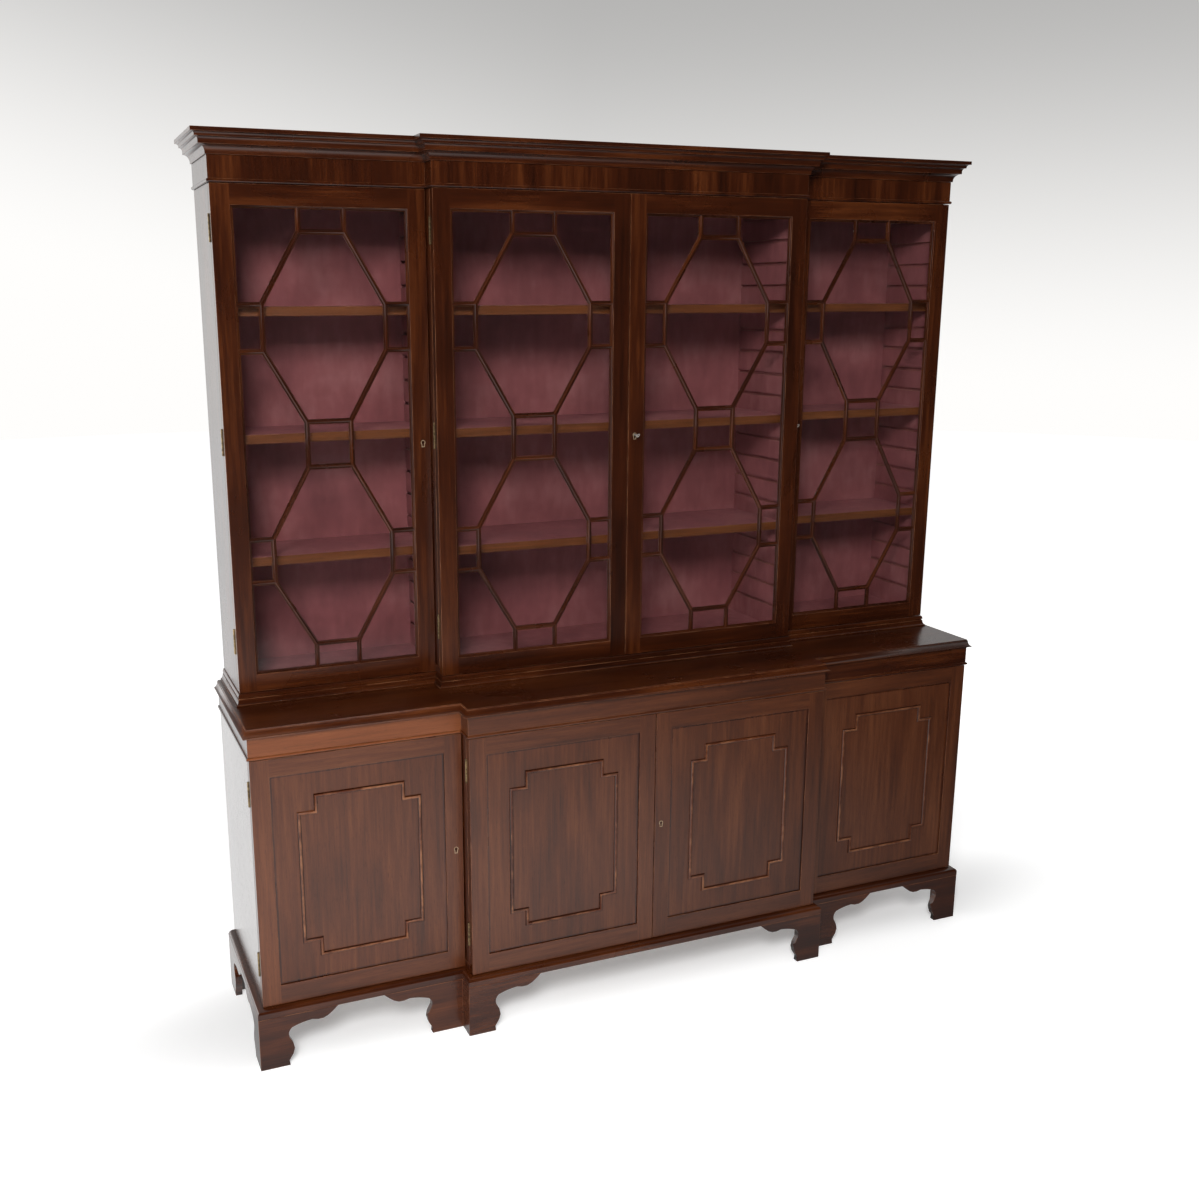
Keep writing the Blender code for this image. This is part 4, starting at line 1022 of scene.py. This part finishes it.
def panes(door, low, high, front):
    """A bmesh of a door's panes, each leaning a little its own way."""
    chance = random.Random(door)
    bm = bmesh.new()
    for cell in lattice_cells():
        outline = inset_cell(cell, low, high, BAR_WIDTH / 2 - PANE_LAP, RIM_WIDTH - PANE_LAP)
        lean = Vector((chance.uniform(-1, 1), chance.uniform(-1, 1))) * PANE_TILT
        middle = sum(outline, Vector((0, 0))) / len(outline)
        rows = []
        for depth in (front, front + PANE_THICKNESS):
            rows.append([bm.verts.new((point.x, depth + (point - middle).dot(lean), point.y))
                         for point in outline])
        bm.faces.new(rows[0])
        bm.faces.new(reversed(rows[1]))
        skin(bm, rows)
    outwards(bm)
    return bm


def make_glazing():
    """Moulded glazing bars, and the panes behind them."""
    for door in DOORS["upper"]:
        low, high = [(corner.x, corner.z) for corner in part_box(door + "_glazing_bars")]
        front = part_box(door + "_frame")[0].y + BAR_SETBACK
        bm = glazing_bars(low, high, front)
        lay_grain(bm, door, lambda face: (longest_way(face), "bar", POLISHED_FACE))
        finished(door + "_moulded_bars", bm, door, FINISHES, [door + "_glazing_bars"])
        bm = panes(door, low, high, front + BAR_DEPTH + TOUCH)
        finished(door + "_panes", bm, door, [GLASS], [door + "_glass"], smooth=False)


# Hinges and locks

def make_hinges():
    """Butt hinges. The case carries a middle knuckle, and the door the two that turn on it."""
    end_knuckle = (HINGE_HEIGHT - MIDDLE_KNUCKLE) / 2 - KNUCKLE_GAP
    spread = (HINGE_HEIGHT - end_knuckle) / 2
    width, thickness, height = LEAF_SIZE
    spots = [(case, place, side) for case in FACES for place in (0, 1) for side in SIDES]
    for case, place, side in spots:
        door, sign = f"{case}_{PLACES[place]}_door_{side}", SIDES[side]
        axis = (sign * (HALVES[case][place] + HINGE_OUT), FACES[case][place] + HINGE_SETBACK)
        points = [(*axis, level) for level in HINGE_LEVELS[case]]
        leaf_x = -sign * (width / 2 + HINGE_OUT)
        for body, owner, towards, knuckles, tall, first in (
                ("case", "case", 1, 1, MIDDLE_KNUCKLE, 0),
                (door, "door", -1, 2, end_knuckle, -spread)):
            leaf_y = towards * thickness
            screw = (leaf_x - sign * width / 6, leaf_y - towards * thickness / 4, -height / 3)
            bm = grown(points, HINGE_HALF, {
                **HINGE_SIZES, "Knuckles": knuckles, "Knuckle height": tall,
                "First knuckle": (0, 0, first), "Knuckle step": (0, 0, 2 * spread),
                "Leaf place": (leaf_x, leaf_y, 0), "First screw": screw, "Finish": BRASS})
            outwards(bm)
            finished(f"{door}_hinges_on_{owner}", bm, body, [BRASS])


def keyhole_outline(radius, slot, drop):
    """A round hole with a slot below it, as points round it from the bottom right."""
    steps = KEYHOLE_POINTS - 3
    lean = math.asin(slot / radius)
    turn = 2 * math.pi - 2 * lean
    points = [(radius * math.sin(lean + turn * step / steps),
               -radius * math.cos(lean + turn * step / steps)) for step in range(steps + 1)]
    return [(slot, -drop)] + points + [(-slot, -drop)]


def make_escutcheons():
    """Brass bands let into the doors round the keyholes."""
    inside, outside = keyhole_outline(*BAND_INSIDE), keyhole_outline(*BAND_OUTSIDE)
    for case, spots in LOCK_SPOTS.items():
        for x, place in spots:
            door = f"{case}_{PLACES[place]}_door_{'left' if x < 0 else 'right'}"
            spot = Vector((x, FACES[case][place], LOCK_LEVELS[case]))
            bm = bmesh.new()
            rings = []
            for outline, depth in ((inside, BAND_DEPTH), (inside, 0), (inside, -BAND_PROUD),
                                   (outside, -BAND_PROUD), (outside, 0), (outside, BAND_DEPTH)):
                rings.append([bm.verts.new(spot + Vector((a, depth, b))) for a, b in outline])
            skin(bm, rings, closed=True)
            outwards(bm)
            finished(door + "_escutcheon", bm, door, [HANDLED_BRASS])


def turned(bm, profile, steps):
    """A turned shape about the Y axis, from points (along, radius)."""
    angles = [math.tau * step / steps for step in range(steps)]
    rings = [[bm.verts.new((radius * math.sin(angle), along, radius * math.cos(angle)))
              for angle in angles] for along, radius in profile]
    bm.faces.new(rings[0])
    bm.faces.new(reversed(rings[-1]))
    skin(bm, rings)


def key_bow(bm):
    """A key's round bow, as a flattened ring."""
    middle, wide = (KEY_RADIUS + KEY_HOLE_RADIUS) / 2, (KEY_RADIUS - KEY_HOLE_RADIUS) / 2
    rings = []
    for step in range(BOW_STEPS):
        angle = math.tau * step / BOW_STEPS
        ring = []
        for part in range(BOW_SIDES):
            round_way = math.tau * part / BOW_SIDES
            reach = middle + wide * math.cos(round_way)
            ring.append(bm.verts.new((BOW_HALF_THICK * math.sin(round_way),
                                      reach * math.cos(angle) - KEY_OUT, reach * math.sin(angle))))
        rings.append(ring)
    skin(bm, rings, closed=True)


def make_keys():
    """The two keys in their locks: a collared shank, a round bow and a bit."""
    for x, place in reversed(LOCK_SPOTS["upper"][1:]):
        door = f"upper_{PLACES[place]}_door_right"
        node = door + "_key"
        spot = Vector((x, FACES["upper"][place], LOCK_LEVELS["upper"]))
        bm = bmesh.new()
        neck, tip = KEY_RADIUS - KEY_OUT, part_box(node)[1].y - spot.y
        turned(bm, [(neck + along, radius) for along, radius in KEY_NECK]
               + [*KEY_COLLAR, (tip, KEY_COLLAR[-1][1])], SHANK_SIDES)
        key_bow(bm)
        add_block(bm, *KEY_BIT)
        outwards(bm)
        turn = Matrix.Rotation(math.radians(KEY_LEAN), 3, "Y")
        bmesh.ops.rotate(bm, verts=bm.verts, matrix=turn)
        bmesh.ops.translate(bm, verts=bm.verts, vec=spot)
        body = frame["nodes"][node]["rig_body"]
        finished(door + "_turned_key", bm, body, [STEEL], [node])
        bolt = frame["nodes"][door + "_bolt"].material_slots[0]
        bolt.link = "OBJECT"
        bolt.material = STEEL


# Room

def make_camera():
    """The photograph's camera."""
    data = bpy.data.cameras.new("camera")
    data.sensor_fit = "VERTICAL"
    data.sensor_height = data.sensor_width = CAMERA_SENSOR
    data.lens = CAMERA_LENS
    data.shift_x, data.shift_y = CAMERA_SHIFT
    camera = placed("camera", data)
    camera.location = CAMERA_PLACE
    camera.rotation_euler = [math.radians(turn) for turn in CAMERA_TURN]
    bpy.context.scene.camera = camera


def make_floor():
    """A plain pale floor that looks white and keeps the bookcase's shadow. Its own light is lower
    under the case, a painted shadow there.

    Gloss shows it white near the bookcase and dim further off, as a sheet of paper would be, and
    darker just in front of the case as painted shade.
    """
    bm = bmesh.new()
    bmesh.ops.create_circle(bm, cap_ends=True, segments=64, radius=FLOOR_RADIUS)
    mesh = bpy.data.meshes.new("floor")
    bm.to_mesh(mesh)
    bm.free()
    material, tree, shader, place = new_material("pale_floor")
    paths = tree.add("ShaderNodeLightPath").outputs
    parts = tree.add("ShaderNodeSeparateXYZ", {0: place}).outputs

    # Painted shadow: the floor's own light is lower under the case and just in front of it.
    beyond = tree.vector("LENGTH", tree.vector("MULTIPLY", place, PAINTED_SHADOW_SCALE))
    clear = tree.sum("MAXIMUM", tree.rise(beyond, *PAINTED_SHADOW_ROUND),
                     tree.rise(parts["Y"], *PAINTED_SHADOW_FRONT))
    far = tree.rise(tree.vector("LENGTH", place), *FAR_AWAY)
    lift = tree.total(FLOOR_LIFT, (clear, PAINTED_SHADOW_LIFT), (far, FAR_LIFT))
    seen = tree.sum("MAXIMUM", paths["Is Camera Ray"], paths["Is Transmission Ray"])
    for label, value in (("Base Color", FLOOR_GREY), ("Roughness", FLOOR_ROUGHNESS),
                         ("Emission Color", (1, 1, 1, 1)),
                         ("Emission Strength", tree.sum("MULTIPLY", seen, lift))):
        tree.feed(shader.inputs[label], value)

    near = tree.rise(tree.vector("DISTANCE", place, GLARE_CENTRE), *GLARE_REACH)
    # Painted shade in gloss: the floor shows dimmer just in front of the case.
    under = tree.total(1.0, (tree.rise(parts["Y"], *GLARE_PAINTED_SHADE_RANGE), -GLARE_PAINTED_SHADE))
    behind = tree.sum("MAXIMUM", tree.rise(parts["Y"], *GLARE_BEHIND),
                      tree.rise(parts["X"], *GLARE_LEFT))
    glare = tree.sum("MAXIMUM", tree.sum("MULTIPLY", near, under), behind)
    glare = tree.total(GLARE_FAR, (glare, 1 - GLARE_FAR))
    paper = tree.add("ShaderNodeEmission", {"Strength": glare})
    end_in_two(tree, paths["Is Glossy Ray"], shader, paper)
    mesh.materials.append(material)
    placed("floor", mesh)


def make_world():
    """Soft light all round, and the pale wall that the camera, gloss and glass see."""
    world = bpy.data.worlds.new("room")
    bpy.context.scene.world = world
    world.use_nodes = True
    tree = Tree(world.node_tree)
    world.node_tree.nodes.clear()
    way = tree.add("ShaderNodeTexCoord").outputs["Generated"]
    parts = tree.add("ShaderNodeSeparateXYZ", {"Vector": way}).outputs
    paths = tree.add("ShaderNodeLightPath").outputs
    slant = tree.total(parts["Z"], (tree.sum("MINIMUM", parts["X"], WALL_LEAN_END), WALL_LEAN))
    wall = tree.total(1.0, (tree.rise(slant, *WALL_RISE), -WALL_SHADE))
    front = tree.total(1.0, (tree.rise(parts["Y"], *ROOM_FRONT), ROOM_GLARE - 1))
    direct = paths["Is Camera Ray"]
    mirrored = tree.sum("MAXIMUM", front, direct)
    gloss = tree.sum("MAXIMUM", paths["Is Glossy Ray"], paths["Is Transmission Ray"])
    seen = tree.sum("MAXIMUM", direct, gloss)
    shown = tree.sum("MULTIPLY", seen, tree.sum("MULTIPLY", wall, mirrored))
    strength = tree.total(shown, (tree.sum("SUBTRACT", 1.0, seen), ROOM_LIGHT))
    sky = tree.add("ShaderNodeBackground", {"Color": ROOM_TINT, "Strength": strength})
    tree.add("ShaderNodeOutputWorld", {"Surface": sky})


def make_lamp(name, place, target, size, power, spread, shines):
    """A soft square lamp pointed at a place, seen in polish only if it shines there."""
    data = bpy.data.lights.new(name, "AREA")
    data.size = size
    data.energy = power
    data.spread = math.radians(spread)
    lamp = placed(name, data)
    lamp.visible_camera = False
    lamp.visible_glossy = shines
    lamp.location = place
    lamp.rotation_euler = (Vector(target) - Vector(place)).to_track_quat("-Z", "Y").to_euler()


def make_room():
    """Camera, floor, wall and lamps."""
    make_camera()
    make_floor()
    make_world()
    for lamp in LAMPS:
        make_lamp(*lamp)
    bpy.context.scene.view_settings.view_transform = "Standard"


MOULDED_RUN = moulded_run_tree()
HINGE_HALF = hinge_half_tree()
make_room()
make_case()
make_runs()
make_door_frames()
make_panels()
make_glazing()
make_hinges()
make_escutcheons()
make_keys()
